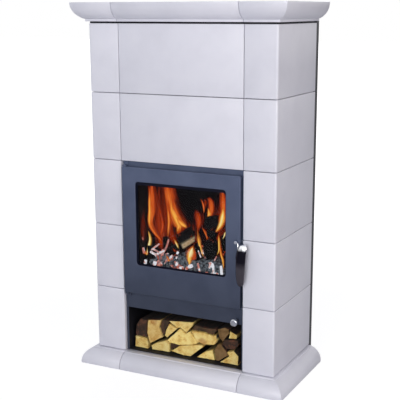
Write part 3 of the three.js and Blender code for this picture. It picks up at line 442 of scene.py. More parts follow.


# Air-dried split alder and spruce: yellow wood with growth rings round each log's own pith, pale and
# dark by turns, long fibres on the split sides, brown bark with cracks, and painted shade on what lies
# behind the ends, darker between two places from front to back. The attribute logKind holds bark, tone and heartwood
woodLook = {"early": "#EACA72", "late": "#CE9A40", "dark": "#7C5220", "pale": "#F8E69C", "heart": "#A5623A",
            "barkDark": "#0D0705", "barkLight": "#6A3B28", "ringMm": 5.0, "fibreMm": 1.6, "warpMm": 26,
            "blotchMm": 24, "crackMm": 9, "pithMm": (8, 24), "paintedShadeMm": (-137, -112), "paintedShade": 0.28, "bump": (0.9, 1.5)}


def splitLogWood():
    material, tree, coords = startMaterial("splitLogWood")
    grain = attribute(tree, "grain", "Vector")
    kind = attribute(tree, "logKind", "Color")
    bark, tone, heartwood = addNode(tree, "ShaderNodeSeparateColor", None, {0: kind}).outputs
    flat = mapped(tree, grain, (1, 0.06, 1))
    warp = calc(tree, "MULTIPLY", noiseFac(tree, flat, woodLook["warpMm"], 4.0), 3.0)
    radius = calcVector(tree, "LENGTH", calcVector(tree, "MULTIPLY", grain, (1, 0, 1)))
    rings = calc(tree, "FRACT", calc(tree, "MULTIPLY_ADD", radius, 1 / (woodLook["ringMm"] * mm), warp))
    fibres = noiseFac(tree, flat, woodLook["fibreMm"], 3.0)
    blotch = noiseFac(tree, grain, woodLook["blotchMm"], 4.0, Roughness=0.6)
    figure = calc(tree, "MULTIPLY_ADD", fibres, 0.3, calc(tree, "MULTIPLY_ADD", rings, 0.26, blotch))
    wood = ramped(tree, figure, (0.48, woodLook["dark"]), (0.58, woodLook["late"]), (0.72, woodLook["early"]),
                  (0.95, woodLook["pale"]))
    nearest, furthest = woodLook["pithMm"]
    nearPith = remap(tree, radius, nearest * mm, furthest * mm, 0.6, 0, smooth=True)
    heart = mixedColour(tree, calc(tree, "MAXIMUM", heartwood, nearPith), wood, woodLook["heart"], "MULTIPLY")
    cracks = edgeCells(tree, mapped(tree, grain, (1, 0.3, 1)), woodLook["crackMm"])
    barkColour = ramped(tree, calc(tree, "MULTIPLY_ADD", cracks, 0.7, blotch),
                        (0.52, woodLook["barkDark"]), (0.92, woodLook["barkLight"]))
    colour = mixedColour(tree, bark, scaled(tree, heart, tone), barkColour)
    # painted shade: the colour darkens from the log ends towards the back of the store
    front, behind = woodLook["paintedShadeMm"]
    paintedShade = remap(tree, axisOf(tree, coords, "Y"), front * mm, behind * mm, 1, woodLook["paintedShade"])
    finishSurface(tree, scaled(tree, colour, paintedShade), 0.85, {
        "Normal": bumped(tree, calc(tree, "ADD", figure, cracks), *woodLook["bump"])})
    return material


# Charred wood: black scales 10 mm across, a little red heat in the cracks, and pale unburnt wood where
# a split face is still fresh
charLook = {"char": "#030404", "middle": "#0A0B0B", "scaleEdge": "#121212", "glow": "#FF5A12", "scaleMm": 10,
            "heat": 0.8, "cloudMm": 22, "fresh": "#F6ECCC", "freshDark": "#CDB070", "fibreMm": 2.5, "slant": 38,
            "bump": (0.8, 1.5)}


def charredWood():
    material, tree, coords = startMaterial("charredWood")
    scales = edgeCells(tree, coords, charLook["scaleMm"])
    tone = ramped(tree, scales, (0, charLook["scaleEdge"]), (0.12, charLook["char"]), (0.4, charLook["char"]),
                  (0.7, charLook["middle"]))
    along = mapped(tree, coords, (0.15, 0.3, 1), (0, math.radians(charLook["slant"]), 0))
    fibres = noiseFac(tree, along, charLook["fibreMm"], 3.0)
    wood = ramped(tree, fibres, (0.35, charLook["freshDark"]), (0.55, charLook["fresh"]))
    colour = mixedColour(tree, attribute(tree, "freshWood"), tone, wood)
    crack = remap(tree, scales, 0, 0.09, 1, 0)
    hot = remap(tree, noiseFac(tree, coords, charLook["cloudMm"], 5.0), 0.6, 0.7, 0, 1)
    own = attribute(tree, "coalHeat")
    glowing = calc(tree, "MULTIPLY_ADD", calc(tree, "MULTIPLY", crack, hot), charLook["heat"], own)
    finishSurface(tree, colour, 0.85, {
        "Specular IOR Level": 0.12, "Normal": bumped(tree, scales, *charLook["bump"]),
        "Emission Color": charLook["glow"], "Emission Strength": glowing})
    return material


# Glowing coals under wood ash: blue-grey flaky ash, black gaps, and some pieces from cherry red to white
coalLook = {"ash": "#7B8893", "grey": "#454E57", "soot": "#101114", "flakeMm": 8, "cloudMm": 20, "bump": (0.8, 1.5),
            "glow": [(0.38, "#000000"), (0.5, "#5A1404"), (0.6, "#C8501A"), (0.68, "#C0A29C"), (0.76, "#E6EAF4")]}


def glowingCoal():
    material, tree, coords = startMaterial("glowingCoal")
    flakes = noiseFac(tree, coords, coalLook["flakeMm"], 5.0)
    tone = ramped(tree, flakes, (0.34, coalLook["soot"]), (0.44, coalLook["grey"]), (0.6, coalLook["ash"]))
    clouds = noiseFac(tree, coords, coalLook["cloudMm"], 3.0)
    heat = calc(tree, "MULTIPLY_ADD", clouds, 0.5, attribute(tree, "coalHeat"))
    glow = ramped(tree, calc(tree, "MULTIPLY_ADD", flakes, -0.9, heat), *coalLook["glow"])
    finishSurface(tree, tone, 0.95, {
        "Normal": bumped(tree, flakes, *coalLook["bump"]), "Emission Color": glow, "Emission Strength": 1})
    return material


# Flame: glowing soot in thin sheets, yellow-white in the body, orange and then deep red at edges and tips,
# drawn out in streaks along its flow; cooler flames are thinner. The attribute flameSpot holds the place
# across (-1 to 1) and up (0 to 1) and the heat
flameLook = {"stops": [(0, "#120100"), (0.18, "#4A1004"), (0.34, "#9A2C0A"), (0.5, "#D04E18"), (0.66, "#E9782C"),
                       (0.82, "#F9AE44"), (0.94, "#FFD868"), (1.05, "#FFF4B8")],
             "strength": 1, "streakMm": 6, "streakLongMm": 60, "ragged": 1.1, "tipPower": 5, "rootPower": 7,
             "endShare": 0.6, "soft": (0.1, 1, 1, 0), "edgeCool": -0.42, "tipCool": -0.12, "softPower": 1.4,
             "thin": (0.2, 0.7, 0.3, 1)}


def flameGlow():
    material, tree, _ = startMaterial("flameGlow")
    spot = attribute(tree, "flameSpot", "Vector")
    sideways, up, heat = addNode(tree, "ShaderNodeSeparateXYZ", None, {0: spot}).outputs
    drawn = mapped(tree, attribute(tree, "flameFlow", "Vector"), (
        1 / (flameLook["streakMm"] * mm), 1 / (flameLook["streakLongMm"] * mm), 1))
    streaks = addNode(tree, "ShaderNodeTexNoise", None, {
        "Vector": drawn, "Scale": 1, "Detail": 4, "Roughness": 0.6, "Distortion": 0.5}).outputs["Fac"]
    ragged = calc(tree, "MULTIPLY_ADD", streaks, flameLook["ragged"], -flameLook["ragged"] / 2)
    edge = calc(tree, "ADD", calc(tree, "ABSOLUTE", sideways), ragged)
    tip = calc(tree, "POWER", up, flameLook["tipPower"])
    root = calc(tree, "POWER", calc(tree, "SUBTRACT", 1, up), flameLook["rootPower"])
    reach = calc(tree, "MULTIPLY_ADD", calc(tree, "ADD", tip, root), flameLook["endShare"], edge)
    solid = remap(tree, reach, *flameLook["soft"], smooth=True)
    warmth = calc(tree, "MULTIPLY_ADD", up, flameLook["tipCool"], heat)
    warmth = calc(tree, "MULTIPLY_ADD", reach, flameLook["edgeCool"], warmth)
    glow = addNode(tree, "ShaderNodeEmission", None, {
        "Color": ramped(tree, warmth, *flameLook["stops"]), "Strength": flameLook["strength"]}).outputs[0]
    clear = addNode(tree, "ShaderNodeBsdfTransparent").outputs[0]
    soft = calc(tree, "POWER", solid, flameLook["softPower"])
    soft = calc(tree, "MULTIPLY", soft, remap(tree, heat, *flameLook["thin"]))
    finishMaterial(tree, mixedShader(tree, soft, clear, glow))
    return material


glaze = tinGlaze()
bluePaint = stovePaint("aluminiumFlakePaint", paintLook)
blackPaint = stovePaint("mattBlackStovePaint", blackLook)
rearPaint = stovePaint("greyPrimerPaint", rearLook)
iron = sandCastIron()
chamotte = sootyChamotte()
chrome = chromePlate()
paneGlass = glassCeramic()
rope = glassFibreRope()
logWood = splitLogWood()
charWood = charredWood()
coal = glowingCoal()
flame = flameGlow()
print("materials made")


tileSet = {"pitchMm": 222, "edgeMm": 1.7, "edgeSteps": 3, "seed": 4}
tileColumns = {"cornerTilesLeft": ("corner_tile_left", 5), "cornerTilesRight": ("corner_tile_right", 5),
               "frontTiles": ("front_tile", 2)}


def tileRowTree():
    # repeats one tile upwards, and gives each its own tone from the kiln
    tree, given = startTree("tileRows", {"Rows": "Int", "Pitch": "Float", "Seed": "Int", "Material": "Material"})
    rise = addNode(tree, "ShaderNodeCombineXYZ", None, {"Z": given["Pitch"]}).outputs[0]
    line = addNode(tree, "GeometryNodeMeshLine", {"mode": "OFFSET"}, {
        "Count": given["Rows"], "Offset": rise}).outputs[0]
    tone = addNode(tree, "FunctionNodeRandomValue", {"data_type": "FLOAT"}, {"Seed": given["Seed"]}).outputs[1]
    kept = keepOnInstances(tree, instanced(tree, line, given["Geometry"]), "kilnTone", tone)
    return finishTree(tree, realized(tree, kept), given["Material"])


def buildTiles():
    rowsTree = tileRowTree()
    for name, (node, rows) in tileColumns.items():
        shape = mergedCopy(node + "_1")
        softenEdges(shape, tileSet["edgeMm"] * mm, tileSet["edgeSteps"])
        values = {"Rows": rows, "Pitch": tileSet["pitchMm"] * mm, "Seed": tileSet["seed"] + rows + len(name),
                  "Material": glaze}
        piece = nodesResult(name, shapeToMesh(name, shape), rowsTree, values)
        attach(piece, "stove")
        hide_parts(*[f"{node}_{row + 1}" for row in range(rows)])


# Outlines are [outwards from the tile face, upwards], in mm; rounds are drawn with this many steps
mouldingSet = {"steps": 22, "edgeMm": 1.0, "edgeSteps": 2, "sharpest": 38, "halfWidth": 332, "front": -177,
               "rear": 153, "seamX": 222, "centreX": 220}


def hollowRound(fromOut, fromUp, toOut, toUp):
    run, rise = toOut - fromOut, toUp - fromUp
    radius = (run * run + rise * rise) / (2 * run)
    start = math.asin(min(1, abs(rise) / radius))
    points = []
    for step in range(mouldingSet["steps"] + 1):
        angle = start * (1 - step / mouldingSet["steps"])
        out = toOut - radius + radius * math.cos(angle)
        points.append((out, toUp - math.copysign(1, rise) * radius * math.sin(angle)))
    return points


plinthOutline = [(45, 0)] + hollowRound(10, 53, 45, 6)[::-1] + [(10, 55), (-22, 55), (-22, 0)]
corniceOutline = [(-25, 0), (8, 0), (8, 8)] + hollowRound(12, 9, 43, 58) + [(43, 60), (-25, 60)]


def sweepMoulding(name, node, outline, path, base):
    # sweeps the outline along the path with mitred corners
    legs = []
    for (x0, y0), (x1, y1) in zip(path, path[1:]):
        length = math.hypot(x1 - x0, y1 - y0)
        legs.append(((y1 - y0) / length, -(x1 - x0) / length))
    shape = bmesh.new()
    rings = []
    for i, (x, y) in enumerate(path):
        before, after = legs[max(i - 1, 0)], legs[min(i, len(legs) - 1)]
        share = 1 / (1 + before[0] * after[0] + before[1] * after[1])
        outX, outY = (before[0] + after[0]) * share, (before[1] + after[1]) * share
        rings.append([shape.verts.new(((x + outX * out) * mm, (y + outY * out) * mm, (base + up) * mm))
                      for out, up in outline])
    skinRings(shape, rings)
    bmesh.ops.recalc_face_normals(shape, faces=shape.faces)
    softenEdges(shape, mouldingSet["edgeMm"] * mm, mouldingSet["edgeSteps"], mouldingSet["sharpest"])
    piece = meshPiece(name, shapeToMesh(name, shape), glaze, 36)
    giveAttribute(piece.data, "kilnTone", "FLOAT", [random.Random(name).random()] * len(piece.data.vertices))
    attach(piece, "stove")
    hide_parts(node)


def buildMouldings():
    half, front, rear = mouldingSet["halfWidth"], mouldingSet["front"], mouldingSet["rear"]
    paths = {
        "Left": [(-half, rear), (-half, front), (-mouldingSet["seamX"], front)],
        "Centre": [(-mouldingSet["centreX"], front), (mouldingSet["centreX"], front)],
        "Right": [(mouldingSet["seamX"], front), (half, front), (half, rear)],
    }
    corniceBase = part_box("cornice_centre")[0].z / mm
    for place, path in paths.items():
        sweepMoulding("plinth" + place, "plinth_" + place.lower(), plinthOutline, path, 0)
        sweepMoulding("cornice" + place, "cornice_" + place.lower(), corniceOutline, path, corniceBase)


buildTiles()
buildMouldings()
print("tiles and mouldings built")


# node: [piece, material, rounded edge in mm, body]
steelPieces = {
    "rear_casing": ["rearCasing", rearPaint, 0.5, "stove"],
    "carrier_plate": ["carrierPlate", blackPaint, 0.6, "stove"],
    "top_cover": ["topCover", rearPaint, 0.3, "stove"],
    "front_fascia": ["frontFascia", bluePaint, 0.5, "stove"],
    "log_store": ["logStore", blackPaint, 0.4, "stove"],
    "door_panel": ["doorPanel", bluePaint, 1.8, "door"],
    "hinge_bracket_upper": ["hingeUpper", bluePaint, 0.5, "stove"],
    "hinge_bracket_lower": ["hingeLower", bluePaint, 0.5, "stove"],
    "glass_retainer": ["glassRetainer", blackPaint, 0.3, "door"],
    "door_seal": ["doorSealRope", rope, 1.2, "door"],
    "glass_gasket": ["glassGasket", rope, 0.4, "door"],
    "grate": ["grateCasting", iron, 0.8, "stove"],
    "lining_left": ["liningLeft", chamotte, 1.5, "stove"],
    "lining_right": ["liningRight", chamotte, 1.5, "stove"],
    "lining_rear": ["liningRear", chamotte, 1.5, "stove"],
    "baffle": ["baffleSlab", chamotte, 1.5, "stove"],
    "door_glass": ["doorGlass", paneGlass, 0.3, "door"],
    "handle_spindle": ["handleSpindle", chrome, 0.3, "handle"],
    "air_knob": ["airKnob", chrome, 0.6, "air_control"],
}
keptNodes = {
    "carcass": blackPaint, "firebox_shell": blackPaint, "air_box": blackPaint, "smoke_hood": blackPaint,
    "flue_collar": blackPaint, "ash_pan": blackPaint, "hearth_slab": chamotte, "air_slide": blackPaint,
}


def buildSteel():
    for node, (name, material, edge, body) in steelPieces.items():
        softenedNode(node, name, material, edge, 3 if edge > 1 else 2, body)
    for node, material in keptNodes.items():
        for slot in nodes[node].material_slots:
            slot.material = material


# The lever: chrome, with painted reflection in its colour: a painted highlight where its bend faces up, and a painted
# dark reflection below, of the room in front of it
leverLook = {"bendHighlight": "#F2F3F7", "dark": "#25222C", "low": "#5E5960", "tip": "#4A464E", "roughness": (0.1, 0.22),
             "wipeMm": 12, "reflectionWaverReach": 0.012, "heightsMm": [(352, "tip"), (368, "low"), (412, "low"), (434, "dark"),
                                                             (470, "dark"), (481, "bendHighlight"), (495, "bendHighlight")]}
# Blade from its top to its tip, in mm: height, left edge, right edge, front face
leverBlade = [(491.5, 229, 236, -197), (490.5, 224.5, 239.5, -201), (487, 221, 243, -205), (481, 218.5, 245, -207.5),
              (473, 216, 245.5, -209), (462, 213.5, 244, -210), (437, 209.5, 241.5, -210), (412, 208.5, 239.5, -209),
              (388, 208.5, 237.5, -207.5), (370, 210, 235.5, -205.5), (361, 212, 233, -204), (356.5, 215, 230, -203),
              (354.5, 218.5, 226.5, -202.5)]
leverSet = {"thick": 7, "around": 32, "steps": 5, "squareOut": 0.8, "squareDeep": 0.9, "bow": 2.5, "axis": (203, 494),
            "hub": [(4.6, -185.3), (4.6, -189.5), (3.1, -191), (2.53, -191), (2.07, -188.5)],  # radius and depth
            "neck": [(203, -188.5, 494), (208.5, -191, 493.5), (212.2, -194.5, 488), (212, -196, 470),
                     (209.8, -197.5, 460), (208.8, -200, 449), (212, -205, 441)], "neckHalf": 2.0, "neckTaper": 0.8}


def leverChrome():
    material, tree, coords = startMaterial("leverChromePaintedReflection")
    wipe = noiseFac(tree, coords, leverLook["wipeMm"], 2.0)
    # painted reflection: the colour goes by height, from grey and dark painted reflection low down to a painted
    # highlight at the bend, its band edges wavered by the wipe noise
    reflectionHeight = calc(tree, "MULTIPLY_ADD", wipe, leverLook["reflectionWaverReach"], axisOf(tree, coords, "Z"))
    low, high = leverLook["heightsMm"][0][0], leverLook["heightsMm"][-1][0]
    middle = leverLook["reflectionWaverReach"] / 2
    share = remap(tree, reflectionHeight, low * mm + middle, high * mm + middle, 0, 1)
    stops = [((place - low) / (high - low), leverLook[key]) for place, key in leverLook["heightsMm"]]
    tone = ramped(tree, share, *stops)
    finishSurface(tree, tone, remap(tree, wipe, 0, 1, *leverLook["roughness"]), {"Metallic": 1})
    return material


def buildLever():
    shape = bmesh.new()
    rows = [Vector(row) for row in leverBlade]
    turns = [2 * math.pi * j / leverSet["around"] for j in range(leverSet["around"])]
    rings = []
    for k in range((len(rows) - 1) * leverSet["steps"] + 1):
        height, left, right, front = smoothSpot(rows, k / leverSet["steps"])[0]
        ring = []
        for angle in turns:
            out, deep = math.cos(angle), math.sin(angle)
            x = (left + right) / 2 + (right - left) / 2 * math.copysign(abs(out) ** leverSet["squareOut"], out)
            depth = leverSet["thick"] / 2 * (1 + math.copysign(abs(deep) ** leverSet["squareDeep"], deep))
            ring.append(shape.verts.new((x * mm, (front + depth + leverSet["bow"] * out * out) * mm, height * mm)))
        rings.append(ring)
    skinRings(shape, rings)
    hubX, hubZ = leverSet["axis"]
    skinRings(shape, [[shape.verts.new(((hubX + out * math.cos(a)) * mm, y * mm, (hubZ + out * math.sin(a)) * mm))
                       for a in turns] for out, y in leverSet["hub"]])
    roughBar(shape, leverSet["neck"], leverSet["neckHalf"], leverSet["neckHalf"], 0, leverSet["neckTaper"])
    bmesh.ops.recalc_face_normals(shape, faces=shape.faces)
    piece = meshPiece("doorHandle", shapeToMesh("doorHandle", shape), leverChrome(), 40)
    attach(piece, "handle")
    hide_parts("door_handle")


# Beads pressed into the rear sheet, in mm: heights of the long ones, and of the short ones beside the outlet
beadSet = {"long": [150, 330, 510, 690, 1090], "short": [900], "reach": 285, "shortFrom": 120, "half": 9,
           "proud": 2.6, "flatHalf": 0.4, "sunk": 0.3, "around": 48, "steps": 6}


def pressedBead(shape, x0, x1, z, back):
    half, steps = beadSet["half"], beadSet["steps"]
    rings = []
    for k in range(steps + 1):
        angle = math.pi / 2 * k / steps
        radius = half * math.cos(angle) + beadSet["flatHalf"]
        proud = beadSet["proud"] * math.sin(angle) - beadSet["sunk"]
        ring = []
        for j in range(beadSet["around"]):
            turn = 2 * math.pi * (j + 0.5) / beadSet["around"]
            x = (x1 - half if math.cos(turn) > 0 else x0 + half) + radius * math.cos(turn)
            ring.append(shape.verts.new((x * mm, back + proud * mm, (z + radius * math.sin(turn)) * mm)))
        rings.append(ring)
    skinRings(shape, rings)


def buildBeads():
    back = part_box("rear_casing")[1].y
    shape = bmesh.new()
    for z in beadSet["long"]:
        pressedBead(shape, -beadSet["reach"], beadSet["reach"], z, back)
    for z in beadSet["short"]:
        pressedBead(shape, -beadSet["reach"], -beadSet["shortFrom"], z, back)
        pressedBead(shape, beadSet["shortFrom"], beadSet["reach"], z, back)
    bmesh.ops.recalc_face_normals(shape, faces=shape.faces)
    piece = meshPiece("rearBeads", shapeToMesh("rearBeads", shape), rearPaint, 50)
    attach(piece, "stove")


# Pan-head screws with a hexagon socket, in mm
screwSet = {"radius": 4.0, "height": 2.2, "socket": 1.9, "deep": 1.4, "corners": 18, "fromEdge": 9, "coverEdge": 12,
            "rows": 8, "lowest": 85, "highest": 1125}


def screwTree():
    # a screw head on each point, turned to the direction that the point carries
    tree, given = startTree("screwHeads", {
        "Radius": "Float", "Height": "Float", "Socket": "Float", "Depth": "Float", "Material": "Material"})
    head = addNode(tree, "GeometryNodeMeshCylinder", None, {
        "Vertices": screwSet["corners"], "Radius": given["Radius"], "Depth": given["Height"]}).outputs
    top = addNode(tree, "GeometryNodeExtrudeMesh", {"mode": "FACES"}, {
        "Mesh": head["Mesh"], "Selection": head["Top"], "Offset Scale": 0.0, "Individual": False}).outputs
    share = calc(tree, "DIVIDE", given["Socket"], given["Radius"])
    inset = addNode(tree, "GeometryNodeScaleElements", None, {
        "Geometry": top["Mesh"], "Selection": top["Top"], "Scale": share}).outputs[0]
    down = calc(tree, "MULTIPLY", given["Depth"], -1.0)
    socket = addNode(tree, "GeometryNodeExtrudeMesh", {"mode": "FACES"}, {
        "Mesh": inset, "Selection": top["Top"], "Offset Scale": down, "Individual": False}).outputs["Mesh"]
    facing = addNode(tree, "GeometryNodeInputNamedAttribute", {"data_type": "FLOAT_VECTOR"}, {
        "Name": "facing"}).outputs[0]
    turn = addNode(tree, "FunctionNodeAlignEulerToVector", {"axis": "Z"}, {"Vector": facing}).outputs[0]
    placed = instanced(tree, given["Geometry"], socket, Rotation=turn)
    return finishTree(tree, realized(tree, placed), given["Material"])


def buildScrews():
    low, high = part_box("rear_casing")
    coverLow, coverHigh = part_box("top_cover")
    places = []
    step = (screwSet["highest"] - screwSet["lowest"]) / (screwSet["rows"] - 1)
    for side in (low.x + screwSet["fromEdge"] * mm, high.x - screwSet["fromEdge"] * mm):
        for row in range(screwSet["rows"]):
            places.append((Vector((side, high.y, (screwSet["lowest"] + row * step) * mm)), Vector((0, 1, 0))))
    inset = screwSet["coverEdge"] * mm
    for x in (coverLow.x + inset, coverHigh.x - inset):
        for y in (coverLow.y + inset, coverHigh.y - inset):
            places.append((Vector((x, y, coverHigh.z)), Vector((0, 0, 1))))
    mesh = newMesh("screwPlaces", [place + facing * screwSet["height"] * mm / 2 for place, facing in places], [])
    giveAttribute(mesh, "facing", "FLOAT_VECTOR", [facing for _, facing in places])
    values = {"Radius": screwSet["radius"] * mm, "Height": screwSet["height"] * mm, "Socket": screwSet["socket"] * mm,
              "Depth": screwSet["deep"] * mm, "Material": blackPaint}
    piece = nodesResult("casingScrews", mesh, screwTree(), values)
    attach(piece, "stove")


buildSteel()
buildLever()
buildBeads()
buildScrews()
print("steel built")


# Each log: outline of its end in mm (across, above the store's floor), its pith, the edges that carry
# bark, its tone and heartwood share, how far its end stands back, and the node that it stands for
woodPile = {
    "logA": {"end": [(-183, 106), (-154, 106), (-159, 72), (-156, 42), (-173, 42), (-203, 43), (-200, 82)],
        "pith": (-150, 60), "bark": [0, 4, 5, 6], "tone": 0.22, "heart": 0.8, "back": 2, "node": "firewood_2"},
    "logB": {"end": [(-203, 41), (-173, 40), (-160, 39), (-152, 19), (-154, 1), (-205, 1)],
        "pith": (-150, -30), "bark": [5], "tone": 0.95, "heart": 0.1, "back": 0, "node": "firewood_1"},
    "logC": {"end": [(-150, 109), (-98, 115), (-108, 88), (-95, 52), (-145, 22), (-156, 58), (-153, 98)],
        "pith": (-128, 104), "bark": [0], "tone": 1.0, "heart": 0.35, "back": 0, "node": "firewood_3"},
    "logD": {"end": [(-96, 116), (-73, 116), (-70, 107), (-84, 82), (-92, 56), (-106, 88)],
        "pith": (-80, 40), "bark": [0, 1, 2, 3, 4, 5], "tone": 0.3, "heart": 0.6, "back": 4, "node": None},
    "logE": {"end": [(-69, 105), (-38, 92), (-79, 53), (-86, 61), (-82, 81)],
        "pith": (-40, 50), "bark": [3, 4], "tone": 1.0, "heart": 0.1, "back": 1, "node": None},
    "logF": {"end": [(-71, 115), (-20, 121), (26, 125), (20, 112), (-2, 83), (-27, 98), (-37, 94), (-60, 108)],
        "pith": (0, 160), "bark": [0, 1], "tone": 0.97, "heart": 0.1, "back": 2, "node": "firewood_6"},
    "logG": {"end": [(-33, 90), (-27, 95), (-3, 80), (10, 90), (30, 69), (42, 54), (22, 46), (-28, 36), (-66, 39),
        (-77, 45)],
        "pith": (-10, 20), "bark": [9], "tone": 1.05, "heart": 0.0, "back": -3, "node": "firewood_5"},
    "logH": {"end": [(-79, 44), (-68, 36), (-69, 2), (-138, 1), (-141, 15), (-121, 28)],
        "pith": (-95, -20), "bark": [3], "tone": 0.96, "heart": 0.1, "back": 1, "node": "firewood_4"},
    "logI": {"end": [(-66, 37), (-29, 35), (-45, 23), (-66, 12)],
        "pith": (-30, 60), "bark": [0], "tone": 0.42, "heart": 0.9, "back": 5, "node": None},
    "logJ": {"end": [(-28, 34), (27, 45), (56, 50), (62, 44), (14, 2), (-14, 1), (-62, 9), (-44, 21)],
        "pith": (20, -30), "bark": [4], "tone": 1.0, "heart": 0.05, "back": -2, "node": "firewood_7"},
    "logK": {"end": [(35, 2), (64, 26), (93, 37), (99, 20), (104, 2)],
        "pith": (70, -20), "bark": [], "tone": 1.08, "heart": 0.0, "back": 3, "node": None},
    "logL": {"end": [(17, 95), (64, 96), (97, 90), (113, 94), (114, 77), (104, 58), (64, 53), (36, 60)],
        "pith": (60, 60), "bark": [3], "tone": 1.02, "heart": 0.1, "back": -2, "node": "firewood_8"},
    "logCap": {"end": [(28, 116), (64, 111), (107, 114), (110, 107), (97, 91.5), (64, 97.5), (18, 97)],
        "pith": (60, 40), "bark": [0, 1, 2, 3, 5, 6], "tone": 0.3, "heart": 0.5, "back": 3, "node": None},
    "logM": {"end": [(113, 115), (141, 125), (156, 121), (156, 106), (141, 86), (133, 73), (120, 86)],
        "pith": (100, 80), "bark": [0, 1, 2], "tone": 0.6, "heart": 0.6, "back": 2, "node": None},
    "logN": {"end": [(158, 114), (185, 103), (182, 89), (153, 87)],
        "pith": (150, 60), "bark": [0], "tone": 1.0, "heart": 0.0, "back": 6, "node": None},
    "logO": {"end": [(114, 60), (129, 62), (157, 31), (118, 2), (107, 4), (102, 40)],
        "pith": (60, 30), "bark": [1, 4], "tone": 0.6, "heart": 0.6, "back": 1, "node": "firewood_9"},
    "logP": {"end": [(151, 42), (176, 50), (193, 35), (191, 1), (124, 1), (159, 28)],
        "pith": (140, 70), "bark": [1, 2], "tone": 0.98, "heart": 0.1, "back": -2, "node": "firewood_10"},
    "logQ": {"end": [(140, 83), (190, 87), (191, 70), (177, 53), (146, 50), (131, 66)],
        "pith": (130, 40), "bark": [0, 1, 4], "tone": 0.34, "heart": 0.9, "back": 2, "node": None},
}
pileSet = {"front": -140, "rear": 108, "floor": 59, "stepMm": 7, "sections": 9, "rough": 1.1, "waveMm": 9,
           "shaved": 0.9, "endShare": 0.006, "endShrink": 0.975, "thinning": 0.03, "edgeBark": 0.75,
           "endBark": [(0.5, 0.8), (0.8, 0.5), (9, 0)]}  # below each tone, the share of bark colour on the ends


def roughLog(name, end, pith, bark, tone, heart, back, node):
    seed = sum(ord(letter) for letter in name) * 0.37
    ring, barky = [], []
    for i, (x, z) in enumerate(end):
        nextX, nextZ = end[(i + 1) % len(end)]
        steps = max(2, round(math.hypot(nextX - x, nextZ - z) / pileSet["stepMm"]))
        for step in range(steps):
            ring.append((x + (nextX - x) * step / steps, z + (nextZ - z) * step / steps))
            barky.append(1.0 if i in bark else 0.0)
    middleX = sum(x for x, _ in ring) / len(ring)
    middleZ = sum(z for _, z in ring) / len(ring)
    y0, y1 = pileSet["front"] + back, pileSet["rear"] - abs(back)
    sections = [0, pileSet["endShare"]] + [(k + 1) / pileSet["sections"] for k in range(pileSet["sections"])]
    verts, faces, grain, kinds = [], [], [], []
    for k, share in enumerate(sections):
        y = y0 + (y1 - y0) * share
        shrink = 1.0 - pileSet["thinning"] * share if k else pileSet["endShrink"]
        for (x, z), isBark in zip(ring, barky):
            wobble = pileSet["rough"] * mixedNoise((x, y * 0.12, z), pileSet["waveMm"], seed) - pileSet["shaved"]
            factor = shrink * (1 + wobble / math.hypot(x - middleX, z - middleZ))
            px, pz = middleX + (x - middleX) * factor, middleZ + (z - middleZ) * factor
            verts.append((px * mm, y * mm, (pileSet["floor"] + pz) * mm))
            grain.append(((px - pith[0]) * mm, (y + seed * 40) * mm, (pz - pith[1]) * mm))
            kinds.append((isBark if k else isBark * pileSet["edgeBark"], tone, heart, 1.0))
    count = len(ring)
    for k in range(len(sections) - 1):
        for i in range(count):
            j = (i + 1) % count
            faces.append((k * count + i, (k + 1) * count + i, (k + 1) * count + j, k * count + j))
    endBark = next(share for below, share in pileSet["endBark"] if tone < below)
    for k in (0, len(sections) - 1):  # ends: own vertices, with their own share of bark colour
        start = len(verts)
        verts += verts[k * count:(k + 1) * count]
        grain += grain[k * count:(k + 1) * count]
        kinds += [(endBark, tone, heart, 1.0)] * count
        cap = list(range(start, start + count))
        faces.append(cap if k else cap[::-1])
    mesh = newMesh(name, verts, faces)
    giveAttribute(mesh, "grain", "FLOAT_VECTOR", grain)
    giveAttribute(mesh, "logKind", "FLOAT_COLOR", kinds)
    shape = bmesh.new()
    shape.from_mesh(mesh)
    bmesh.ops.recalc_face_normals(shape, faces=shape.faces)
    shape.to_mesh(mesh)
    shape.free()
    piece = meshPiece(name, mesh, logWood, 40)
    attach(piece, "stove")
    if node:
        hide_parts(node)


for logName, facts in woodPile.items():
    roughLog(logName, **facts)
print("firewood stacked")


bedSet = {"columns": 70, "rows": 46, "lump": 7.0, "lumpMm": 16, "rimMm": 35, "lowMm": 0.2, "proudMm": 6, "seed": 3,
          "heat": 0.25, "heatChange": 0.5, "heatMm": 45, "heatSeed": 1}


def gridFaces(columns, rows):
    wide = columns + 1
    return [(a, a + 1, a + 1 + wide, a + wide) for j in range(rows) for a in range(j * wide, j * wide + columns)]


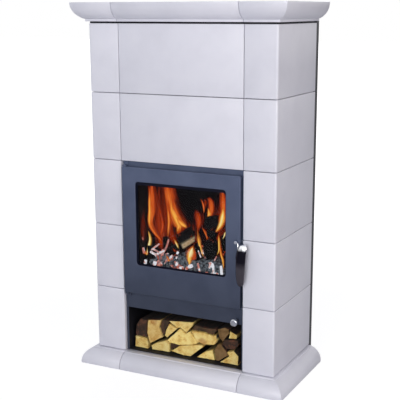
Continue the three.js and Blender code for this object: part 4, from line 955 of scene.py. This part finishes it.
def buildEmberBed():
    low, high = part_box("ember_bed")
    wide, deep = high.x - low.x, high.y - low.y
    columns, rows = bedSet["columns"], bedSet["rows"]
    verts = []
    for j in range(rows + 1):
        for i in range(columns + 1):
            x, y = low.x + wide * i / columns, low.y + deep * j / rows
            rim = min(x - low.x, high.x - x, y - low.y, high.y - y)
            share = min(1.0, rim / (bedSet["rimMm"] * mm))
            lumps = bedSet["lump"] * mm * mixedNoise((x, y, 0), bedSet["lumpMm"] * mm, bedSet["seed"])
            top = low.z + (high.z - low.z) * math.sin(share * math.pi / 2) + lumps * min(1, share * 3)
            verts.append((x, y, max(low.z + bedSet["lowMm"] * mm, min(top, high.z + bedSet["proudMm"] * mm))))
    faces = gridFaces(columns, rows)
    across = columns + 1
    edge = list(range(across)) + [j * across + columns for j in range(1, rows + 1)]
    edge += [rows * across + i for i in range(columns - 1, -1, -1)] + [j * across for j in range(rows - 1, 0, -1)]
    start = len(verts)
    verts += [(verts[k][0], verts[k][1], low.z) for k in edge]
    for i in range(len(edge)):
        j = (i + 1) % len(edge)
        faces.append((edge[i], start + i, start + j, edge[j]))
    faces.append(list(range(start + len(edge) - 1, start - 1, -1)))
    mesh = newMesh("emberBed", verts, faces)
    heats = [mixedNoise(spot, bedSet["heatMm"] * mm, bedSet["heatSeed"]) for spot in verts]
    giveAttribute(mesh, "coalHeat", "FLOAT", [bedSet["heat"] + bedSet["heatChange"] * heat for heat in heats])
    bed = meshPiece("emberBed", mesh, coal, 60)
    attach(bed, "stove")
    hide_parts("ember_bed")
    return bed


# Loose coals: how many on a square metre, and their sizes in metres
coalSet = {"count": 3000, "smallest": 0.006, "largest": 0.014, "seed": 11, "steepest": 0.25, "heatSeed": 77,
           "squashFrom": (0.6, 0.5, 0.4), "squashTo": (1.2, 1.0, 0.8), "roughScale": 150, "roughReach": 0.009}


def randomValue(tree, kind, links):
    node = addNode(tree, "FunctionNodeRandomValue", {"data_type": kind}, links)
    return node.outputs[0 if kind == "FLOAT_VECTOR" else 1]


def coalTree():
    tree, given = startTree("looseCoals", {
        "Density": "Float", "Smallest": "Float", "Largest": "Float", "Seed": "Int", "Material": "Material"})
    up = axisOf(tree, addNode(tree, "GeometryNodeInputNormal").outputs[0], "Z")
    facesUp = addNode(tree, "FunctionNodeCompare", {"data_type": "FLOAT", "operation": "GREATER_THAN"}, {
        0: up, 1: coalSet["steepest"]}).outputs[0]
    points = addNode(tree, "GeometryNodeDistributePointsOnFaces", {"distribute_method": "RANDOM"}, {
        "Mesh": given["Geometry"], "Selection": facesUp, "Density": given["Density"], "Seed": given["Seed"]})
    lump = addNode(tree, "GeometryNodeMeshIcoSphere", None, {"Radius": 1.0, "Subdivisions": 2}).outputs["Mesh"]
    fullTurn = (6.28, 6.28, 6.28)
    spin = randomValue(tree, "FLOAT_VECTOR", {0: (0, 0, 0), 1: fullTurn, "Seed": given["Seed"]})
    size = randomValue(tree, "FLOAT", {2: given["Smallest"], 3: given["Largest"], "Seed": given["Seed"]})
    squash = randomValue(tree, "FLOAT_VECTOR", {0: coalSet["squashFrom"], 1: coalSet["squashTo"]})
    placed = instanced(tree, points.outputs["Points"], lump, Rotation=spin, Scale=scaled(tree, squash, size))
    kept = keepOnInstances(tree, placed, "coalHeat", randomValue(tree, "FLOAT", {"Seed": coalSet["heatSeed"]}))
    place = addNode(tree, "GeometryNodeInputPosition").outputs[0]
    rough = addNode(tree, "ShaderNodeTexNoise", None, {
        "Vector": place, "Scale": coalSet["roughScale"], "Detail": 2.0})
    push = calcVector(tree, "SUBTRACT", rough.outputs["Color"], (0.5, 0.5, 0.5))
    moved = addNode(tree, "GeometryNodeSetPosition", None, {
        "Geometry": realized(tree, kept), "Offset": scaled(tree, push, coalSet["roughReach"])}).outputs[0]
    return finishTree(tree, moved, given["Material"])


def buildCoals(bed):
    values = {"Density": float(coalSet["count"]), "Smallest": coalSet["smallest"], "Largest": coalSet["largest"],
              "Seed": coalSet["seed"], "Material": coal}
    piece = nodesResult("looseCoals", bed.data.copy(), coalTree(), values)
    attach(piece, "stove")


# Charred logs and sticks in mm: middles of the two ends, half sizes across and up, and the node
charSet = {
    "charLogOval": {"ends": [(75, -119, 438), (72, 39, 434)], "half": (24, 36), "node": "burning_log_1"},
    "charLogRound": {"ends": [(80, -119, 528), (72, 38, 500)], "half": (25, 25), "node": "burning_log_2"},
    "charLogLow": {"ends": [(-64, -119, 417), (-48, 0, 415)], "half": (21, 19), "node": None},
    "charChunk": {"ends": [(77, -111, 490), (73, -55, 484)], "half": (17, 17), "node": None},
    "charStickRight": {"ends": [(129, -112, 372), (123, -108, 490)], "half": (9, 8), "node": None},
    "charStickLeft": {"ends": [(-97, -98, 385), (-93, -113, 460)], "half": (10, 9), "node": None},
    "charStickMiddle": {"ends": [(35, -108, 385), (30, -118, 441)], "half": (9, 9), "node": None},
    "charStickLow": {"ends": [(-150, -118, 372), (-146, -124, 428)], "half": (10, 9), "node": None},
}
# Embers and glowing twigs in mm: a line of points, the half thickness, and the heat
emberSet = [
    {"line": [(-140, -128, 414), (-126, -129, 426), (-110, -127, 438)], "half": 3, "heat": 0.84},
    {"line": [(-136, -128, 419), (-112, -131, 411), (-92, -129, 401)], "half": 3, "heat": 0.8},
    {"line": [(-77, -120, 456), (-80, -127, 436), (-88, -129, 418), (-101, -130, 398)], "half": 3, "heat": 0.82},
    {"line": [(-120, -132, 400), (-142, -132, 409)], "half": 4, "heat": 0.9},
    {"line": [(-124, -138, 366), (-120, -137, 378)], "half": 6, "heat": 1.0},
    {"line": [(-159, -139, 366), (-157, -138, 380)], "half": 5, "heat": 0.95},
    {"line": [(-40, -137, 374), (-36, -137, 386)], "half": 4, "heat": 0.95},
    {"line": [(-38, -134, 414), (-34, -134, 421)], "half": 4, "heat": 1.05},
    {"line": [(100, -139, 362), (98, -138, 388)], "half": 3.5, "heat": 1.0},
    {"line": [(130, -139, 364), (126, -138, 394)], "half": 4.5, "heat": 1.0},
    {"line": [(84, -138, 380), (88, -136, 400)], "half": 3.5, "heat": 0.92},
    {"line": [(-158, -146, 404), (-163, -144, 424)], "half": 4, "heat": 0.86},
    {"line": [(-160, -146, 452), (-163, -147, 460)], "half": 3, "heat": 0.9},
    {"line": [(48, -137, 364), (40, -135, 392)], "half": 3, "heat": 0.86},
    {"line": [(-3, -138, 364), (3, -137, 374)], "half": 4, "heat": 0.86},
    {"line": [(-84, -133, 372), (-76, -132, 392)], "half": 4, "heat": 0.78},
    {"line": [(45, -122, 408), (36, -124, 432)], "half": 2, "heat": 0.86},
    {"line": [(104, -124, 420), (96, -126, 404)], "half": 2, "heat": 0.9},
]
# The split log's two ends, drawn from its bark over its ridge to its pale split face, in mm
splitLogEnds = {
    "near": [(-70, -84, 468), (-60, -100, 470), (-48, -112, 460), (-33, -117, 443), (-29, -108, 424), (-52, -84, 428)],
    "far": [(-28, -46, 492), (-14, -58, 492), (-4, -70, 484), (2, -80, 468), (-2, -74, 446), (-14, -44, 450)],
}
splitLogSet = {"along": 12, "between": 4, "freshSide": 3, "rough": (1.04, -0.65, 1.3), "roughMm": 12, "seed": 3,
               "edgeFresh": 0.25, "endFresh": 0.3}


def buildCharLogs():
    for name, facts in charSet.items():
        shape = bmesh.new()
        roughBar(shape, facts["ends"], *facts["half"], len(name))
        bmesh.ops.recalc_face_normals(shape, faces=shape.faces)
        piece = meshPiece(name, shapeToMesh(name, shape), charWood, 50)
        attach(piece, "stove")
        if facts["node"]:
            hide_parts(facts["node"])


def buildEmbers():
    shape = bmesh.new()
    heats = []
    for i, facts in enumerate(emberSet):
        roughBar(shape, facts["line"], facts["half"], facts["half"], i * 1.7, 0.6)
        heats += [facts["heat"]] * (len(shape.verts) - len(heats))
    bmesh.ops.recalc_face_normals(shape, faces=shape.faces)
    mesh = shapeToMesh("hotEmbers", shape)
    giveAttribute(mesh, "coalHeat", "FLOAT", heats)
    piece = meshPiece("hotEmbers", mesh, coal, 50)
    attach(piece, "stove")


def buildSplitLog():
    near, far = ([Vector(p) for p in splitLogEnds[key]] for key in ("near", "far"))
    count, along, between = len(near), splitLogSet["along"], splitLogSet["between"]
    freshSide = splitLogSet["freshSide"]
    shape = bmesh.new()
    rings, fresh = [], []
    for k in range(along + 1):
        ring = []
        for i in range(count):
            for step in range(between):
                a = near[i].lerp(near[(i + 1) % count], step / between)
                b = far[i].lerp(far[(i + 1) % count], step / between)
                spot = a.lerp(b, k / along)
                spot += Vector(splitLogSet["rough"]) * mixedNoise(spot, splitLogSet["roughMm"], splitLogSet["seed"])
                ring.append(shape.verts.new(spot * mm))
                split = 1.0 if i == freshSide and step > 0 else 0.0
                if step == 0 and i in (freshSide, freshSide + 1):
                    split = splitLogSet["edgeFresh"]
                fresh.append(split * (splitLogSet["endFresh"] if k in (0, along) else 1.0))
        rings.append(ring)
    skinRings(shape, rings)
    bmesh.ops.recalc_face_normals(shape, faces=shape.faces)
    mesh = shapeToMesh("charLogSplit", shape)
    giveAttribute(mesh, "freshWood", "FLOAT", fresh)
    piece = meshPiece("charLogSplit", mesh, charWood, 40)
    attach(piece, "stove")
    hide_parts("burning_log_3")


# Flames: points up each flame's middle as (across, height, half width) in mm, its place from front to
# back, and its heat
flameSet = {
    "flameLeftBody": {"y": -100, "heat": 0.72, "spine": [(-116, 438, 3), (-125, 450, 8), (-141, 465, 9),
        (-155, 485, 12), (-159, 503, 14), (-156, 525, 15), (-152, 548, 15), (-150, 575, 16), (-149, 598, 18),
        (-151, 621, 18), (-154, 642, 17), (-157, 690, 17)]},
    "flameLeftCore": {"y": -106, "heat": 0.9, "spine": [(-159, 486, 4), (-159, 510, 8), (-157, 536, 8),
        (-157, 565, 7), (-157, 593, 6), (-158, 622, 5)]},
    "flameLeftThin": {"y": -125, "heat": 1.12, "spine": [(-162, 392, 2), (-159, 399, 5), (-154, 417, 5),
        (-150, 433, 6), (-147, 449, 6), (-149, 463, 6), (-153, 478, 3)]},
    "flameLeftHalo": {"y": -148, "heat": 0.36, "spine": [(-158, 440, 5), (-157, 458, 13), (-158, 479, 18),
        (-160, 503, 19), (-159, 527, 16), (-156, 552, 10), (-153, 580, 5)]},
    "flameBetween": {"y": -60, "heat": 0.4, "spine": [(-133, 425, 6), (-138, 444, 21), (-148, 467, 31),
        (-151, 493, 34), (-148, 520, 30), (-145, 547, 21), (-146, 573, 12), (-150, 599, 5)]},
    "flameBetweenLick": {"y": -84, "heat": 0.55, "spine": [(-129, 453, 2), (-126, 469, 6), (-120, 491, 6),
        (-122, 511, 4), (-129, 540, 5), (-132, 553, 4), (-132, 573, 2)]},
    "flameTwoBody": {"y": -96, "heat": 0.74, "spine": [(-57, 471, 5), (-51, 482, 13), (-50, 498, 23),
        (-57, 513, 27), (-68, 532, 26), (-77, 555, 24), (-84, 580, 24), (-89, 605, 27), (-92, 628, 29),
        (-95, 648, 29), (-101, 700, 29)]},
    "flameTwoCore": {"y": -104, "heat": 0.94, "spine": [(-54, 481, 3), (-49, 492, 9), (-46, 505, 14),
        (-53, 520, 15), (-63, 537, 13), (-73, 557, 11), (-75, 580, 7), (-77, 600, 4)]},
    "flameTwoFork": {"y": -108, "heat": 0.92, "spine": [(-14, 501, 2), (-21, 504, 6), (-33, 510, 10),
        (-44, 519, 9), (-54, 533, 5)]},
    "flameTwoLeft": {"y": -108, "heat": 0.86, "spine": [(-86, 462, 3), (-85, 481, 5), (-83, 502, 5),
        (-82, 525, 6), (-84, 549, 6), (-86, 572, 3)]},
    "flameTwoRed": {"y": -88, "heat": 0.52, "spine": [(-59, 416, 2), (-64, 426, 5), (-73, 441, 10),
        (-83, 458, 18), (-84, 479, 19), (-84, 500, 13)]},
    "flameTwoRim": {"y": -116, "heat": 1.1, "spine": [(-42, 427, 1), (-47, 437, 3), (-52, 447, 3), (-56, 457, 1)]},
    "flameMidBody": {"y": -92, "heat": 0.56, "spine": [(17, 480, 6), (18, 499, 10), (22, 514, 15), (23, 530, 19),
        (21, 545, 17), (15, 557, 10), (7, 564, 3)]},
    "flameMidThin": {"y": -106, "heat": 1, "spine": [(45, 406, 2), (41, 416, 4), (35, 431, 4), (31, 446, 5),
        (28, 464, 7), (26, 482, 6), (22, 499, 3)]},
    "flameMidDark": {"y": -70, "heat": 0.42, "spine": [(15, 439, 7), (1, 453, 11), (-7, 473, 13), (-10, 499, 10),
        (-10, 525, 5)]},
    "flameMidRight": {"y": -104, "heat": 0.75, "spine": [(58, 464, 2), (58, 474, 3), (53, 487, 4), (47, 499, 4),
        (40, 508, 2)]},
    "flameArc": {"y": -100, "heat": 0.72, "spine": [(44, 554, 1), (45, 564, 3), (43, 579, 4), (39, 592, 4),
        (33, 602, 2)]},
    "flameArcRed": {"y": -84, "heat": 0.5, "spine": [(40, 563, 3), (43, 579, 7), (43, 592, 8), (38, 601, 3)]},
    "flameTopBody": {"y": -104, "heat": 0.66, "spine": [(60, 544, 4), (67, 549, 11), (72, 563, 13), (74, 578, 13),
        (73, 593, 13), (67, 605, 9), (56, 607, 3)]},
    "flameTopCore": {"y": -112, "heat": 0.98, "spine": [(65, 548, 6), (70, 556, 8), (70, 566, 6), (67, 576, 2)]},
    "flameRightBody": {"y": -108, "heat": 0.72, "spine": [(87, 493, 3), (96, 502, 9), (107, 519, 13),
        (116, 540, 14), (119, 560, 14), (120, 580, 14), (119, 603, 13), (118, 625, 12), (117, 648, 10),
        (116, 690, 9)]},
    "flameRightCore": {"y": -116, "heat": 1.08, "spine": [(97, 501, 4), (107, 515, 8), (116, 531, 9),
        (120, 549, 10), (122, 567, 8), (121, 582, 3)]},
    "flameRightRed": {"y": -90, "heat": 0.5, "spine": [(109, 399, 4), (103, 417, 8), (99, 437, 11), (93, 457, 9),
        (93, 477, 11), (100, 494, 17), (101, 509, 8)]},
    "flameRightThin": {"y": -122, "heat": 1.04, "spine": [(103, 422, 2), (109, 438, 3), (110, 456, 4),
        (110, 476, 5), (110, 494, 2)]},
    "flameRightThinTwo": {"y": -126, "heat": 0.95, "spine": [(130, 377, 2), (129, 392, 4), (126, 410, 5),
        (121, 427, 5), (119, 445, 4), (118, 463, 2)]},
    "flameRightTip": {"y": -128, "heat": 1.15, "spine": [(128, 482, 1), (132, 493, 2), (134, 500, 3),
        (137, 508, 1)]},
    "flameLowBody": {"y": -128, "heat": 0.95, "spine": [(8, 370, 2), (5, 386, 7), (4, 401, 11), (6, 414, 14),
        (12, 428, 15), (17, 439, 10), (22, 450, 2)]},
    "flameLowCore": {"y": -134, "heat": 1.3, "spine": [(8, 406, 5), (11, 419, 8), (16, 431, 7), (22, 443, 2)]},
    "flameLowRed": {"y": -120, "heat": 0.6, "spine": [(11, 376, 3), (15, 393, 7), (18, 409, 10), (23, 425, 8),
        (27, 441, 3)]},
    "flameHazeLeft": {"y": -52, "heat": 0.5, "spine": [(-142, 396, 34), (-144, 440, 52), (-146, 500, 56),
        (-148, 560, 46), (-152, 640, 30)]},
    "flameHazeRight": {"y": -40, "heat": 0.42, "spine": [(60, 396, 40), (66, 440, 56), (74, 500, 56),
        (82, 560, 44), (92, 640, 26)]},
    "flameHazeMiddle": {"y": -46, "heat": 0.46, "spine": [(-60, 400, 30), (-58, 440, 40), (-52, 480, 40),
        (-50, 520, 24)]},
    "flameLeftLow": {"y": -130, "heat": 0.85, "spine": [(-153, 397, 2), (-162, 400, 6), (-171, 401, 6),
        (-180, 404, 2)]},
    "flameCoalLick": {"y": -130, "heat": 0.9, "spine": [(-79, 376, 2), (-74, 385, 6), (-78, 395, 5), (-83, 405, 1)]},
}
flameGrid = {"across": 12, "up": 44, "bow": 8, "ripple": 4, "rippleMm": (40, 45), "wide": 1.6}


def flameSheet(name, spine, y, heat):
    across, up = flameGrid["across"], flameGrid["up"]
    seed = sum(ord(letter) for letter in name) * 0.11
    points = [Vector(p) for p in spine]
    rippleX, rippleZ = flameGrid["rippleMm"]
    verts, spots, flows = [], [], []
    travelled, last = 0.0, points[0]
    for row in range(up + 1):
        spot, ahead = smoothSpot(points, row / up * (len(points) - 1))
        travelled += math.hypot(spot.x - last.x, spot.y - last.y)
        last = spot
        ahead.y += 0.001  # so that it always has a length
        length = math.hypot(ahead.x, ahead.y)
        sideX, sideZ = ahead.y / length, -ahead.x / length
        reach = max(spot.z, 1) * flameGrid["wide"]
        for column in range(across + 1):
            u = 2 * column / across - 1
            sway = flameGrid["ripple"] * mixedNoise((spot.x / rippleX, spot.y / rippleZ, u * 0.4), 1, seed)
            verts.append(((spot.x + u * reach * sideX) * mm, (y + flameGrid["bow"] * u * u + sway) * mm,
                          (spot.y + u * reach * sideZ) * mm))
            spots.append((u, row / up, heat))
            flows.append((u * reach * mm, travelled * mm, seed))
    mesh = newMesh(name, verts, gridFaces(across, up))
    giveAttribute(mesh, "flameSpot", "FLOAT_VECTOR", spots)
    giveAttribute(mesh, "flameFlow", "FLOAT_VECTOR", flows)
    piece = meshPiece(name, mesh, flame, 180)
    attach(piece, "stove")


emberBed = buildEmberBed()
buildCoals(emberBed)
buildCharLogs()
buildEmbers()
buildSplitLog()
for flameName, facts in flameSet.items():
    flameSheet(flameName, **facts)
print("fire laid")


# The floor is white where the camera sees it, with a share of its shadow near the stove, fading out between
# two distances in metres; white is over 1 to make up for that share, which is darker than white
stageSet = {"floor": "#D2D2D6", "shadowShare": 0.3, "white": 1.27, "near": 0.9, "far": 2.2, "size": 60,
            "room": "#D6DAE4", "roomStrength": 0.42}


def buildStage():
    material, tree, coords = startMaterial("paleFloor")
    plain = addNode(tree, "ShaderNodeBsdfDiffuse", None, {"Color": stageSet["floor"]}).outputs[0]
    white = addNode(tree, "ShaderNodeEmission", None, {"Color": "#FFFFFF", "Strength": stageSet["white"]}).outputs[0]
    ray = addNode(tree, "ShaderNodeLightPath").outputs
    share = remap(tree, calcVector(tree, "LENGTH", coords), stageSet["near"], stageSet["far"],
                  1 - stageSet["shadowShare"], 1, smooth=True)
    finishMaterial(tree, mixedShader(tree, calc(tree, "MULTIPLY", ray["Is Camera Ray"], share), plain, white))
    half = stageSet["size"] / 2
    mesh = newMesh("floor", [(-half, -half, 0), (half, -half, 0), (half, half, 0), (-half, half, 0)], [(0, 1, 2, 3)])
    mesh.materials.append(material)
    floor = bpy.data.objects.new("floor", mesh)
    bpy.context.scene.collection.objects.link(floor)
    world = bpy.data.worlds.new("paleStudio")
    bpy.context.scene.world = world
    world.use_nodes = True
    tree = world.node_tree
    tree.nodes.clear()
    ray = addNode(tree, "ShaderNodeLightPath").outputs
    seen = calc(tree, "MAXIMUM", ray["Is Camera Ray"], ray["Is Transmission Ray"])
    seen = calc(tree, "MAXIMUM", seen, ray["Is Glossy Ray"])
    room = addNode(tree, "ShaderNodeBackground", None, {
        "Color": stageSet["room"], "Strength": stageSet["roomStrength"]})
    backdrop = addNode(tree, "ShaderNodeBackground", None, {"Color": "#FFFFFF", "Strength": 1.0})
    both = mixedShader(tree, seen, room.outputs[0], backdrop.outputs[0])
    addNode(tree, "ShaderNodeOutputWorld", None, {"Surface": both})


# Soft boxes: place and aim in metres, size and power in watts
lampSet = {
    "keyLamp": {"place": (0.9, -5.6, 1.9), "aim": (0, 0, 0.6), "size": 2.8, "power": 159, "colour": "#FFFFFF"},
    "backLamp": {"place": (-1.8, 5.2, 2.8), "aim": (0, 0, 0.6), "size": 2.8, "power": 120, "colour": "#FFFFFF"},
    "fillLamp": {"place": (3.4, -1.7, 1.9), "aim": (0, 0, 0.6), "size": 2.4, "power": 50, "colour": "#FFF5EC"},
}


def buildLamps():
    for name, facts in lampSet.items():
        light = bpy.data.lights.new(name, "AREA")
        light.shape = "SQUARE"
        light.size = facts["size"]
        light.energy = facts["power"]
        light.color = linearColour(facts["colour"])[:3]
        lamp = bpy.data.objects.new(name, light)
        bpy.context.scene.collection.objects.link(lamp)
        lamp.location = facts["place"]
        lamp.rotation_euler = (Vector(facts["aim"]) - Vector(facts["place"])).to_track_quat("-Z", "Y").to_euler()


# Fitted to the photograph's seams: place in mm, angles in degrees, focal length and centre in pixels of 400
cameraSet = {"place": (1340.7, -2677.2, 1207.2), "yaw": 26.28, "pitch": 13.19, "roll": -0.12, "focal": 897.7,
             "centre": (210, 220), "pixels": 400, "sensor": 36}


def buildCamera():
    data = bpy.data.cameras.new("photoCamera")
    pixels = cameraSet["pixels"]
    data.sensor_fit = "HORIZONTAL"
    data.sensor_width = cameraSet["sensor"]
    data.lens = cameraSet["focal"] / pixels * cameraSet["sensor"]
    data.shift_x = (pixels / 2 - cameraSet["centre"][0]) / pixels
    data.shift_y = (cameraSet["centre"][1] - pixels / 2) / pixels
    data.clip_end = 100
    camera = bpy.data.objects.new("photoCamera", data)
    bpy.context.scene.collection.objects.link(camera)
    camera.location = [part * mm for part in cameraSet["place"]]
    turn = Matrix.Rotation(math.radians(cameraSet["yaw"]), 3, "Z")
    turn = turn @ Matrix.Rotation(math.radians(90 - cameraSet["pitch"]), 3, "X")
    turn = turn @ Matrix.Rotation(math.radians(cameraSet["roll"]), 3, "Z")
    camera.rotation_euler = turn.to_euler()
    bpy.context.scene.camera = camera


buildStage()
buildLamps()
buildCamera()
bpy.context.scene.view_settings.view_transform = "Standard"
print("stage, light and camera set")
